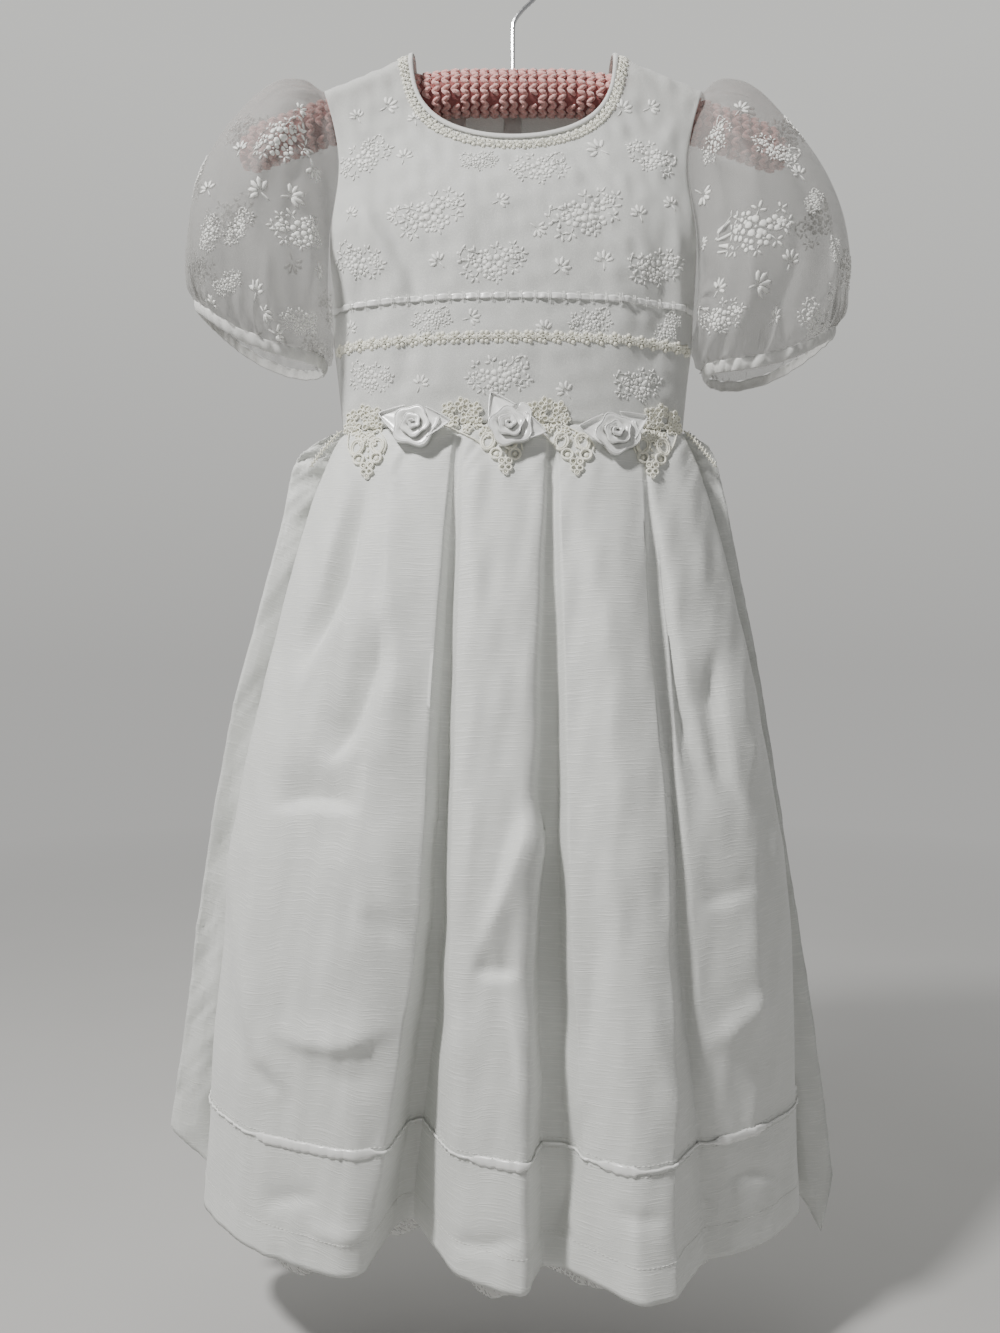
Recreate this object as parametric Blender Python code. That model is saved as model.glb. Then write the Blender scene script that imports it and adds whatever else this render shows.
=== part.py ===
"""First communion dress on a padded hanger.

Metres, +Z up. The front of the dress faces -Y and the origin is the inside
of the hook, where a rail carries the hanger.
"""
import math
from collections import namedtuple

import bmesh
import bpy
from mathutils import Vector
from mathutils.bvhtree import BVHTree

# Seams and cloth
SEAM = 0.0003
LAID_ON = 0.0006
BAND_LAID_ON = 0.0011
BODICE_WALL = 0.0016
SKIRT_WALL = 0.0015
SLEEVE_WALL = 0.0010
NET_WALL = 0.0010
TRIM_WALL = 0.0012

# Hanger
WIRE_RADIUS = 0.00175
HOOK_RADIUS = 0.0225
HOOK_START_ANGLE = -38.0
HOOK_END_ANGLE = 205.0
BAR_TOP = -0.0920
BAR_HALF_LENGTH = 0.2120
BAR_HALF_HEIGHT = 0.0175
BAR_HALF_DEPTH = 0.0142
BAR_STRAIGHT = 0.040
BAR_FALL = 0.68

# Bodice
NECK_POINT = (0.0755, -0.0835)
FRONT_NECK_DROP = 0.0745
BACK_NECK_DROP = 0.0180
NECK_SQUARENESS = 0.62
SHOULDER_TIP = (0.1445, -0.1125)
UNDERARM_Z = -0.296
ARMHOLE_ROUND_Z = -0.225
ARMHOLE_DEPTH = 0.0215
WAIST_Z = -0.376
CROWN_DROP = 0.015
CROWN_DEPTH = 0.0205
CHEST_DROP = 0.130

BodiceLevel = namedtuple("BodiceLevel", "z half_width front_depth back_depth")
BODICE_LEVELS = [
    BodiceLevel(-0.1125, 0.1445, 0.034, 0.028),
    BodiceLevel(-0.1500, 0.1345, 0.038, 0.032),
    BodiceLevel(-0.1800, 0.1315, 0.042, 0.035),
    BodiceLevel(-0.2300, 0.1380, 0.047, 0.038),
    BodiceLevel(-0.2960, 0.1390, 0.049, 0.039),
    BodiceLevel(-0.3400, 0.1345, 0.048, 0.038),
    BodiceLevel(-0.3760, 0.1310, 0.046, 0.036),
]

# Neck trims, the distance from the neck edge and the width of each
BINDING_START = 0.0006
BINDING_WIDTH = 0.0036
BRAID_START = 0.0048
BRAID_WIDTH = 0.0088

# Bodice bands
RIBBON_Z = -0.2841
RIBBON_HEIGHT = 0.0052
DAISY_Z = -0.3138
DAISY_HEIGHT = 0.0105
BAND_REACH = 78.0

# Sleeves, one row for each ring from the armhole to the band
SleeveRing = namedtuple("SleeveRing", "outer_x outer_z inner_x inner_z half_depth square")
SLEEVE_RINGS = {
    "left": [
        SleeveRing(0.1450, -0.1122, 0.1396, -0.2963, 0.0215, 3.6),
        SleeveRing(0.1600, -0.1030, 0.1402, -0.3010, 0.0370, 2.8),
        SleeveRing(0.1790, -0.1040, 0.1408, -0.3050, 0.0470, 2.4),
        SleeveRing(0.2010, -0.1250, 0.1416, -0.3085, 0.0540, 2.3),
        SleeveRing(0.2260, -0.1560, 0.1424, -0.3110, 0.0570, 2.3),
        SleeveRing(0.2430, -0.1900, 0.1432, -0.3130, 0.0560, 2.3),
        SleeveRing(0.2490, -0.2300, 0.1440, -0.3145, 0.0500, 2.3),
        SleeveRing(0.2500, -0.2600, 0.1448, -0.3155, 0.0420, 2.3),
        SleeveRing(0.2440, -0.2730, 0.1456, -0.3165, 0.0350, 2.4),
    ],
    "right": [
        SleeveRing(0.1450, -0.1122, 0.1396, -0.2963, 0.0215, 3.6),
        SleeveRing(0.1590, -0.1070, 0.1402, -0.3010, 0.0370, 2.8),
        SleeveRing(0.1800, -0.1120, 0.1408, -0.3055, 0.0470, 2.4),
        SleeveRing(0.2030, -0.1320, 0.1416, -0.3100, 0.0540, 2.3),
        SleeveRing(0.2290, -0.1640, 0.1424, -0.3140, 0.0570, 2.3),
        SleeveRing(0.2480, -0.2020, 0.1434, -0.3170, 0.0560, 2.3),
        SleeveRing(0.2570, -0.2400, 0.1446, -0.3195, 0.0500, 2.3),
        SleeveRing(0.2560, -0.2740, 0.1460, -0.3210, 0.0420, 2.3),
        SleeveRing(0.2470, -0.2930, 0.1478, -0.3220, 0.0350, 2.4),
    ],
}
SLEEVE_GATHERS = 12
CAP_GATHER = 0.0022
CUFF_GATHER = 0.0026
CUFF_SAG = 0.012
CUFF_BAND = 0.0085

# Skirt
HEM_Z = -0.962
MID_PART = 0.53
FLARE_X = 0.70
FLARE_Y = 0.80
BACK_HEM_DEPTH = 0.052
BACK_FOLDS = 8
BACK_FOLD_DEPTH = 0.007
HEM_RIBBON_Z = -0.8810
HEM_RIBBON_HEIGHT = 0.0050

Fold = namedtuple("Fold", "name waist_x mid_x mid_y hem_x hem_y")
FRONT_FOLDS = [
    Fold("left side seam", -0.1310, -0.2150, 0.0000, -0.2390, 0.0000),
    Fold("left turn", -0.1280, -0.2110, -0.0300, -0.2300, -0.0240),
    Fold("left side crest", -0.1190, -0.1800, -0.0680, -0.1920, -0.0680),
    Fold("left side pleat", -0.1080, -0.1460, -0.0840, -0.1600, -0.0880),
    Fold("first panel crest", -0.0750, -0.1050, -0.0960, -0.1180, -0.1070),
    Fold("first panel edge", -0.0430, -0.0640, -0.0930, -0.1010, -0.0990),
    Fold("first valley left", -0.0402, -0.0560, -0.0680, -0.0890, -0.0460),
    Fold("first valley right", -0.0384, -0.0480, -0.0680, -0.0740, -0.0360),
    Fold("second panel edge", -0.0350, -0.0430, -0.0940, -0.0560, -0.0740),
    Fold("second panel left", -0.0230, -0.0290, -0.1020, -0.0380, -0.1060),
    Fold("second panel right", 0.0190, 0.0040, -0.1040, 0.0040, -0.1270),
    Fold("second panel end", 0.0250, 0.0125, -0.0970, 0.0120, -0.1120),
    Fold("second valley left", 0.0266, 0.0170, -0.0720, 0.0190, -0.0930),
    Fold("second valley right", 0.0284, 0.0320, -0.0730, 0.0340, -0.0970),
    Fold("third panel edge", 0.0315, 0.0375, -0.0970, 0.0500, -0.1110),
    Fold("third panel crest", 0.0600, 0.0700, -0.1060, 0.0800, -0.1370),
    Fold("third panel end", 0.0900, 0.1040, -0.0980, 0.1040, -0.1280),
    Fold("third valley", 0.0935, 0.1120, -0.0810, 0.1300, -0.0880),
    Fold("right side pleat", 0.0975, 0.1210, -0.0860, 0.1430, -0.0840),
    Fold("right side crest", 0.1170, 0.1650, -0.0680, 0.1740, -0.0680),
    Fold("right turn", 0.1280, 0.2000, -0.0300, 0.2110, -0.0290),
    Fold("right side seam", 0.1310, 0.2060, 0.0000, 0.2210, 0.0000),
]

# Petticoat
PETTICOAT_TOP_PART = 0.012
PETTICOAT_TOP_INSET = 0.0023
PETTICOAT_HEM_INSET = 0.0058
PETTICOAT_TOP_REACH = 0.0075
PETTICOAT_HEM_REACH = 0.0135
PETTICOAT_FRONT_COLUMNS = 26
PETTICOAT_BACK_COLUMNS = 12
PETTICOAT_SIDE = 0.0030
LACE_EDGE_HEIGHT = 0.0150
LACE_WAVE = 0.0055
LACE_WAVE_LENGTH = 0.0675
LACE_LOW_X = -0.0200

# Sash, one row for each height with the outer edge and the width
SashRow = namedtuple("SashRow", "z outer_x width")
SASH_ROWS = {
    "left": [
        SashRow(-0.372, 0.1380, 0.010),
        SashRow(-0.384, 0.1600, 0.020),
        SashRow(-0.400, 0.1720, 0.030),
        SashRow(-0.438, 0.1800, 0.037),
        SashRow(-0.500, 0.1960, 0.040),
        SashRow(-0.580, 0.2170, 0.040),
        SashRow(-0.677, 0.2350, 0.040),
        SashRow(-0.745, 0.2455, 0.039),
        SashRow(-0.810, 0.2535, 0.038),
        SashRow(-0.865, 0.2610, 0.038),
        SashRow(-0.913, 0.2675, 0.038),
    ],
    "right": [
        SashRow(-0.372, 0.1380, 0.010),
        SashRow(-0.384, 0.1540, 0.020),
        SashRow(-0.400, 0.1610, 0.030),
        SashRow(-0.435, 0.1690, 0.037),
        SashRow(-0.488, 0.1790, 0.040),
        SashRow(-0.544, 0.1900, 0.040),
        SashRow(-0.641, 0.2060, 0.040),
        SashRow(-0.711, 0.2170, 0.039),
        SashRow(-0.801, 0.2315, 0.038),
        SashRow(-0.877, 0.2417, 0.038),
        SashRow(-0.951, 0.2504, 0.038),
    ],
}
SASH_CLEAR = 0.0042
SASH_END_DROPS = {
    "left": (0.0, 0.010, 0.020, 0.030, 0.040),
    "right": (0.0, 0.044, 0.026, 0.012, 0.004),
}
SASH_RIPPLE = 0.0016

# Waist lace, each motif from its flower cluster to its hanging point
MOTIF_TOP_Z = -0.3575
MotifPlace = namedtuple("MotifPlace", "cluster_x point_x")
MOTIF_PLACES = [
    MotifPlace(-0.1125, -0.1080),
    MotifPlace(-0.0380, -0.0060),
    MotifPlace(0.0240, 0.0455),
    MotifPlace(0.1120, 0.1020),
]
MotifRow = namedtuple("MotifRow", "drop lean half_width hole_outer hole_inner")
MOTIF_ROWS = [
    MotifRow(0.000, 0.00, 0.0070, 0.0040, 0.0040),
    MotifRow(0.004, 0.00, 0.0140, 0.0070, 0.0070),
    MotifRow(0.010, 0.04, 0.0165, 0.0080, 0.0080),
    MotifRow(0.016, 0.12, 0.0180, 0.0080, 0.0080),
    MotifRow(0.022, 0.35, 0.0165, 0.0075, 0.0075),
    MotifRow(0.027, 0.75, 0.0145, 0.0065, 0.0065),
    MotifRow(0.031, 0.95, 0.0140, 0.0108, 0.0026),
    MotifRow(0.036, 1.00, 0.0135, 0.0100, 0.0022),
    MotifRow(0.040, 1.00, 0.0105, 0.0070, 0.0026),
    MotifRow(0.043, 1.00, 0.0110, 0.0050, 0.0050),
    MotifRow(0.047, 1.00, 0.0095, 0.0045, 0.0045),
    MotifRow(0.050, 1.00, 0.0055, 0.0028, 0.0028),
    MotifRow(0.053, 1.00, 0.0040, 0.0020, 0.0020),
    MotifRow(0.057, 1.00, 0.0012, 0.0006, 0.0006),
]
LACE_END_LENGTH = 0.030
LACE_END_WIDTH = 0.0055

# Ribbon roses
RosePlace = namedtuple("RosePlace", "x z turn left_leaf right_leaf")
ROSE_PLACES = [
    RosePlace(-0.0734, -0.3767, 0.2, 160.0, 2.0),
    RosePlace(-0.0036, -0.3790, 1.1, 118.0, -12.0),
    RosePlace(0.0742, -0.3825, 0.6, 176.0, 28.0),
]
ROSE_RADIUS = 0.0178
ROSE_HEIGHT = 0.0120
ROSE_FOLD = 0.0026
ROSE_EDGE = 0.0014
ROSE_TILT = 0.20
ROSE_TURN_OUT = 3.3
ROSE_LEAF = 0.0095
ROSE_RIDGES = 3

# Label and placket
LABEL_CENTRE = (-0.049, -0.1140)
LABEL_SIZE = (0.024, 0.026)
LABEL_WALL = 0.0010
PLACKET_WIDTH = 0.014


def clamp(value, low, high):
    return max(low, min(high, value))


def ease(value):
    value = clamp(value, 0.0, 1.0)
    return value * value * (3.0 - 2.0 * value)


def lerp(a, b, part):
    return a + (b - a) * part


def smooth_at(xs, ys, x):
    """Smooth curve through (xs, ys), xs rising; flat slopes are kept finite."""
    if x <= xs[0]:
        return ys[0]
    if x >= xs[-1]:
        return ys[-1]
    k = max(i for i in range(len(xs) - 1) if xs[i] <= x)
    width = xs[k + 1] - xs[k]
    part = (x - xs[k]) / width

    def slope(i):
        low = max(i - 1, 0)
        high = min(i + 1, len(xs) - 1)
        return (ys[high] - ys[low]) / (xs[high] - xs[low])

    h1 = part * part * (3.0 - 2.0 * part)
    h2 = part * (1.0 - part) ** 2
    h3 = part * part * (part - 1.0)
    return lerp(ys[k], ys[k + 1], h1) + width * (slope(k) * h2 + slope(k + 1) * h3)


def level_value(rows, field, z):
    """A named column of a table of falling heights, read at height z."""
    xs = [-row.z for row in rows]
    ys = [getattr(row, field) for row in rows]
    return smooth_at(xs, ys, -z)


def soft_spline(points, place):
    """Point on a curve through all points with gentle corners."""
    last = len(points) - 1
    k = int(clamp(math.floor(place), 0, last - 1))
    part = place - k
    before = points[max(k - 1, 0)]
    after = points[min(k + 2, last)]
    start = (points[k + 1] - before) * 0.32
    end = (after - points[k]) * 0.32
    h1 = part * part * (3.0 - 2.0 * part)
    h2 = part * (1.0 - part) ** 2
    h3 = part * part * (part - 1.0)
    return points[k].lerp(points[k + 1], h1) + start * h2 + end * h3


# Solids from rows of points

def material(name, colour, roughness, metallic=0.0):
    made = bpy.data.materials.new(name)
    made.use_nodes = True
    shader = made.node_tree.nodes["Principled BSDF"]
    shader.inputs["Base Color"].default_value = (*colour, 1.0)
    shader.inputs["Roughness"].default_value = roughness
    shader.inputs["Metallic"].default_value = metallic
    return made


def finish_body(name, body, mat):
    """Turn a closed bmesh body into a named object with its faces pointing out."""
    bmesh.ops.triangulate(body, faces=[f for f in body.faces if len(f.verts) > 3])
    bmesh.ops.recalc_face_normals(body, faces=body.faces[:])
    if body.calc_volume(signed=True) < 0.0:
        bmesh.ops.reverse_faces(body, faces=body.faces[:])
    mesh = bpy.data.meshes.new(name)
    body.to_mesh(mesh)
    body.free()
    mesh.shade_smooth()
    mesh.set_sharp_from_angle(angle=math.radians(50))
    mesh.materials.append(mat)
    bpy.context.collection.objects.link(bpy.data.objects.new(name, mesh))


def add_solid(name, outer, inner, faces, mat):
    """One closed body: outer faces, inner faces and the rim between them."""
    body = bmesh.new()
    outer_verts = [body.verts.new(p) for p in outer]
    inner_verts = [body.verts.new(p) for p in inner]
    edge_uses = {}
    for face in faces:
        body.faces.new([outer_verts[i] for i in face])
        body.faces.new([inner_verts[i] for i in reversed(face)])
        for a, b in zip(face, face[1:] + face[:1]):
            edge_uses.setdefault(frozenset((a, b)), []).append((a, b))
    for uses in edge_uses.values():
        if len(uses) == 1:
            a, b = uses[0]
            body.faces.new([outer_verts[b], outer_verts[a], inner_verts[a], inner_verts[b]])
    finish_body(name, body, mat)


def grid_faces(row_count, column_count, closed):
    faces = []
    last = column_count if closed else column_count - 1
    for r in range(row_count - 1):
        for c in range(last):
            d = (c + 1) % column_count
            a = r * column_count
            b = (r + 1) * column_count
            faces.append([a + c, b + c, b + d])
            faces.append([a + c, b + d, a + d])
    return faces


def grid_normals(rows, closed):
    """Outward directions of a grid whose rows go down and columns go round."""
    normals = []
    for r, row in enumerate(rows):
        above = rows[max(r - 1, 0)]
        below = rows[min(r + 1, len(rows) - 1)]
        count = len(row)
        line = []
        for c in range(count):
            if closed:
                along = row[(c + 1) % count] - row[(c - 1) % count]
            else:
                along = row[min(c + 1, count - 1)] - row[max(c - 1, 0)]
            down = below[c] - above[c]
            line.append(down.cross(along).normalized())
        normals.append(line)
    return normals


def moved_rows(rows, normals, distance):
    return [
        [p + n * distance for p, n in zip(row, line)]
        for row, line in zip(rows, normals)
    ]


def wall(name, rows, thickness, mat, closed=False, keep=None, raise_by=0.0, outward=1.0):
    """A cloth wall from rows of points, moved out by raise_by, then given thickness."""
    normals = [[n * outward for n in line] for line in grid_normals(rows, closed)]
    outer = moved_rows(rows, normals, raise_by + (thickness if raise_by > 0 else 0.0))
    inner = moved_rows(rows, normals, raise_by if raise_by > 0 else -thickness)
    outer_points = [p for row in outer for p in row]
    inner_points = [p for row in inner for p in row]
    if keep:
        outer_points = [keep(p) for p in outer_points]
        inner_points = [keep(p) for p in inner_points]
    faces = grid_faces(len(rows), len(rows[0]), closed)
    return add_solid(name, outer_points, inner_points, faces, mat)


def keep_front(p):
    return Vector((p.x, min(p.y, -SEAM / 2), p.z))


def keep_back(p):
    return Vector((p.x, max(p.y, SEAM / 2), p.z))


# Bodice

def shoulder_z(x):
    part = (abs(x) - NECK_POINT[0]) / (SHOULDER_TIP[0] - NECK_POINT[0])
    return lerp(NECK_POINT[1], SHOULDER_TIP[1], clamp(part, 0.0, 1.2))


def armhole_depth(z):
    part = (ARMHOLE_ROUND_Z - z) / (ARMHOLE_ROUND_Z - UNDERARM_Z)
    return ARMHOLE_DEPTH * (1.0 - ease(part))


def bodice_point(x, z, facing):
    """The bodice's outer surface; facing is -1 for the front and 1 for the back."""
    field = "front_depth" if facing < 0 else "back_depth"
    reach = clamp(abs(x) / level_value(BODICE_LEVELS, "half_width", z), 0.0, 1.0)
    drop = max(shoulder_z(x) - z, 0.0)
    crown = math.sqrt(1.0 - (1.0 - clamp(drop / CROWN_DROP, 0.0, 1.0)) ** 2)
    full = level_value(BODICE_LEVELS, field, z)
    centre = lerp(CROWN_DEPTH, full, ease(drop / CHEST_DROP))
    edge = armhole_depth(z)
    depth = crown * (edge + (centre - edge) * math.sqrt(1.0 - reach * reach))
    return Vector((x, facing * max(depth, SEAM / 2), z))


def neck_curve(count, drop):
    """Half neck edge from the neck point on the left to the centre, as (x, z)."""
    points = []
    for i in range(count + 1):
        angle = math.radians(90.0 * (i / count) ** 1.8)
        fall = math.sin(angle) ** NECK_SQUARENESS
        points.append((-NECK_POINT[0] * math.cos(angle), NECK_POINT[1] - drop * fall))
    return points


def half_outline(armhole_count, side_count, waist_count):
    """Left outline of the bodice from the shoulder tip to the waist centre."""
    points = []
    for i in range(armhole_count):
        z = lerp(SHOULDER_TIP[1], UNDERARM_Z, (i / armhole_count) ** 1.7)
        points.append((-level_value(BODICE_LEVELS, "half_width", z), z))
    for i in range(side_count):
        z = lerp(UNDERARM_Z, WAIST_Z, i / side_count)
        points.append((-level_value(BODICE_LEVELS, "half_width", z), z))
    waist_half = BODICE_LEVELS[-1].half_width
    for i in range(waist_count + 1):
        points.append((-waist_half * math.cos(math.radians(90.0 * i / waist_count)), WAIST_Z))
    return points


ARMHOLE_COLUMNS = 8
SIDE_COLUMNS = 2
WAIST_COLUMNS = 8
HALF_COLUMNS = ARMHOLE_COLUMNS + SIDE_COLUMNS + WAIST_COLUMNS
FAN_PARTS = [0.0, 0.045, 0.10, 0.19, 0.34, 0.54, 0.78, 1.0]


def fan_lines(drop):
    """Pairs of neck and outline points for the left half, as (x, z)."""
    neck = neck_curve(HALF_COLUMNS, drop)
    outline = half_outline(ARMHOLE_COLUMNS, SIDE_COLUMNS, WAIST_COLUMNS)
    return list(zip(neck, outline))


def mirrored(lines):
    return [((-n[0], n[1]), (-o[0], o[1])) for n, o in reversed(lines)]


def fan_rows(lines, facing, distances=None):
    """Rows of bodice points from the neck outwards, by part or by distance."""
    rows = []
    for step in distances or FAN_PARTS:
        row = []
        for (nx, nz), (ox, oz) in lines:
            part = step / math.hypot(ox - nx, oz - nz) if distances else step
            row.append(bodice_point(lerp(nx, ox, part), lerp(nz, oz, part), facing))
        rows.append(row)
    return rows


def back_half(lines, side):
    """One back half, parted from the other at the centre by the seam."""
    rows = fan_rows(lines, 1.0)
    for row in rows:
        for p in row:
            p.x = side * max(side * p.x, SEAM / 2)
    return rows


def keep_back_side(side):
    def keep(p):
        return Vector((side * max(side * p.x, SEAM / 2), max(p.y, SEAM / 2), p.z))
    return keep


def make_bodice(cloth):
    front = fan_lines(FRONT_NECK_DROP)
    front_lines = front + mirrored(front)[1:]
    wall("bodice_front", fan_rows(front_lines, -1.0), BODICE_WALL, cloth, keep=keep_front)
    back = fan_lines(BACK_NECK_DROP)
    wall("bodice_back_left", back_half(back, -1.0), BODICE_WALL, cloth,
         keep=keep_back_side(-1.0), outward=-1.0)
    wall("bodice_back_right", back_half(mirrored(back), 1.0), BODICE_WALL, cloth,
         keep=keep_back_side(1.0), outward=-1.0)


def make_neck_trims(binding, braid):
    front = fan_lines(FRONT_NECK_DROP)
    front_lines = front + mirrored(front)[1:]
    back = fan_lines(BACK_NECK_DROP)
    pieces = [
        ("front", front_lines, -1.0, 1.0, keep_front),
        ("back_left", back, 1.0, -1.0, keep_back_side(-1.0)),
        ("back_right", mirrored(back), 1.0, -1.0, keep_back_side(1.0)),
    ]
    trims = [
        ("neck_binding", BINDING_START, BINDING_WIDTH, binding),
        ("neck_braid", BRAID_START, BRAID_WIDTH, braid),
    ]
    for trim, start, width, mat in trims:
        for place, lines, facing, outward, keep in pieces:
            rows = fan_rows(lines, facing, [start, start + width])
            if facing > 0:
                for row in rows:
                    for p in row:
                        p.x = outward_side(place) * max(outward_side(place) * p.x, SEAM / 2)
            wall(trim + "_" + place, rows, TRIM_WALL, mat, keep=keep,
                 raise_by=LAID_ON, outward=outward)


def outward_side(place):
    return -1.0 if place.endswith("left") else 1.0


def band_rows(z, height, columns=26):
    """Rows across the front bodice from one side to the other."""
    rows = []
    for edge in (z + height / 2, z - height / 2):
        half = level_value(BODICE_LEVELS, "half_width", edge)
        angles = [math.radians(lerp(-BAND_REACH, BAND_REACH, i / columns))
                  for i in range(columns + 1)]
        rows.append([bodice_point(half * math.sin(a), edge, -1.0) for a in angles])
    return rows


def make_bodice_bands(satin, braid):
    wall("bodice_ribbon", band_rows(RIBBON_Z, RIBBON_HEIGHT), TRIM_WALL, satin,
         keep=keep_front, raise_by=BAND_LAID_ON)
    wall("daisy_braid", band_rows(DAISY_Z, DAISY_HEIGHT), TRIM_WALL, braid,
         keep=keep_front, raise_by=BAND_LAID_ON)


# Sleeves

def sleeve_ring(side, place):
    """Sleeve sizes at a place between the rings."""
    rings = SLEEVE_RINGS[side]
    steps = list(range(len(rings)))
    return SleeveRing(*[
        smooth_at(steps, [getattr(ring, field) for ring in rings], place)
        for field in SleeveRing._fields
    ])


def sleeve_point(side, place, angle):
    """Point at a place from armhole to cuff; angle 0 is the outer end, 90 the front."""
    ring = sleeve_ring(side, place)
    last = len(SLEEVE_RINGS[side]) - 1
    part = place / last
    power = 2.0 / ring.square
    along = math.copysign(abs(math.cos(angle)) ** power, math.cos(angle))
    deep = math.copysign(abs(math.sin(angle)) ** power, math.sin(angle))
    gather = CAP_GATHER * ease(part / 0.12) * (1.0 - ease(part / 0.42))
    gather += CUFF_GATHER * ease((part - 0.72) / 0.28)
    swell = 1.0 + gather / 0.04 * math.cos(SLEEVE_GATHERS * angle)
    centre_x = (ring.outer_x + ring.inner_x) / 2
    centre_z = (ring.outer_z + ring.inner_z) / 2
    half_x = (ring.outer_x - ring.inner_x) / 2
    half_z = (ring.outer_z - ring.inner_z) / 2
    # The lower half of the cuff hangs in a shallow curve
    sag = CUFF_SAG * ease((part - 0.5) / 0.5) * (1.0 - along * along)
    x = centre_x + half_x * along * lerp(1.0, swell, 0.5)
    z = centre_z + half_z * along - sag
    y = -ring.half_depth * deep * swell
    seam_x = level_value(BODICE_LEVELS, "half_width", z) + 2 * SEAM
    x = lerp(max(x, seam_x) if place > 0.0 else seam_x, x, ease(place))
    return Vector((x if side == "right" else -x, y, z))


def sleeve_rows(side, places, columns):
    turn = 1.0 if side == "right" else -1.0
    return [
        [sleeve_point(side, place, turn * 2.0 * math.pi * c / columns) for c in range(columns)]
        for place in places
    ]


def make_sleeves(organza, band):
    columns = 48
    for side in ("left", "right"):
        last = len(SLEEVE_RINGS[side]) - 1
        places = [0.0, 0.6, 1.4, 2.7, 4.2, 5.8, last - 0.05]
        rows = sleeve_rows(side, places, columns)
        wall("sleeve_" + side, rows, SLEEVE_WALL, organza, closed=True, outward=-1.0)
        end = sleeve_rows(side, [last - 0.5, last], columns)
        cuff_top = []
        cuff_foot = []
        for above, at in zip(end[0], end[1]):
            down = (at - above).normalized()
            down = (down + Vector((0.0, 0.0, -1.2))).normalized()
            cuff_top.append(at + down * 0.0008)
            cuff_foot.append(at + down * (0.0008 + CUFF_BAND))
        wall("sleeve_band_" + side, [cuff_top, cuff_foot], SLEEVE_WALL * 1.6, band,
             closed=True, outward=-1.0)


# Skirt

def skirt_z(part):
    return lerp(WAIST_Z - SEAM, HEM_Z, part)


def fall(waist, mid, hem, part, power):
    """A fold's place on the way from the waist through the middle to the hem."""
    if part <= MID_PART:
        return lerp(waist, mid, (part / MID_PART) ** power)
    rest = 1.0 - MID_PART
    s = (part - MID_PART) / rest
    start = (mid - waist) * power / MID_PART * rest
    end = hem - mid
    h1 = s * s * (3.0 - 2.0 * s)
    h2 = s * (1.0 - s) ** 2
    h3 = s * s * (s - 1.0)
    return lerp(mid, hem, h1) + start * h2 * 0.6 + end * h3


def fold_points(part):
    points = []
    for fold in FRONT_FOLDS:
        waist_y = bodice_point(fold.waist_x, WAIST_Z, -1.0).y
        if abs(fold.waist_x) >= BODICE_LEVELS[-1].half_width:
            waist_y = 0.0
        x = fall(fold.waist_x, fold.mid_x, fold.hem_x, part, FLARE_X)
        y = fall(waist_y, fold.mid_y, fold.hem_y, part, FLARE_Y)
        points.append(Vector((x, y, skirt_z(part))))
    return points


def front_row(part, steps_per_fold):
    points = fold_points(part)
    count = (len(points) - 1) * steps_per_fold
    row = [soft_spline(points, c / steps_per_fold) for c in range(count + 1)]
    return [Vector((p.x, min(p.y, -SEAM / 2), p.z)) for p in row]


def back_row(part, columns):
    """Row from the left side seam round the back to the right side seam."""
    first = fold_points(part)[0]
    last = fold_points(part)[-1]
    waist_depth = BODICE_LEVELS[-1].back_depth
    depth = lerp(waist_depth, BACK_HEM_DEPTH, part ** 0.8)
    row = []
    for c in range(columns + 1):
        angle = math.pi * c / columns
        reach = math.cos(angle)
        x = first.x * reach if reach > 0 else -last.x * reach
        arch = math.sin(angle)
        ripple = math.cos(2.0 * math.pi * BACK_FOLDS * (c / columns - 0.5))
        wave = BACK_FOLD_DEPTH * ease((part - 0.02) / 0.5) * ease((arch - 0.55) / 0.35)
        y = depth * arch + wave * (ripple - 0.2)
        row.append(Vector((x, max(y, SEAM / 2), skirt_z(part))))
    return row


def skirt_parts():
    """Row places down the skirt, with rows on both edges of the hem ribbon."""
    length = skirt_z(0.0) - HEM_Z
    top = (skirt_z(0.0) - HEM_RIBBON_Z - HEM_RIBBON_HEIGHT / 2) / length
    foot = top + HEM_RIBBON_HEIGHT / length
    return [0.0, 0.02, 0.06, 0.13, 0.24, 0.38, MID_PART, 0.70, top, foot, 1.0]


FRONT_STEPS = 2
BACK_COLUMNS = 32


def make_skirt(shantung, satin):
    parts = skirt_parts()
    front = [front_row(part, FRONT_STEPS) for part in parts]
    back = [back_row(part, BACK_COLUMNS) for part in parts]
    wall("skirt_front", front, SKIRT_WALL, shantung, keep=keep_front)
    wall("skirt_back", back, SKIRT_WALL, shantung, keep=keep_back, outward=-1.0)
    ribbon = slice(len(parts) - 3, len(parts) - 1)
    wall("hem_ribbon_front", front[ribbon], TRIM_WALL, satin, keep=keep_front,
         raise_by=SEAM)
    wall("hem_ribbon_back", back[ribbon], TRIM_WALL, satin, keep=keep_back,
         raise_by=SEAM, outward=-1.0)


def row_y(row, x):
    """The y of a row of points at x, where x rises or falls along the row."""
    for a, b in zip(row, row[1:]):
        if min(a.x, b.x) <= x <= max(a.x, b.x) and a.x != b.x:
            return lerp(a.y, b.y, (x - a.x) / (b.x - a.x))
    return 0.0


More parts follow.
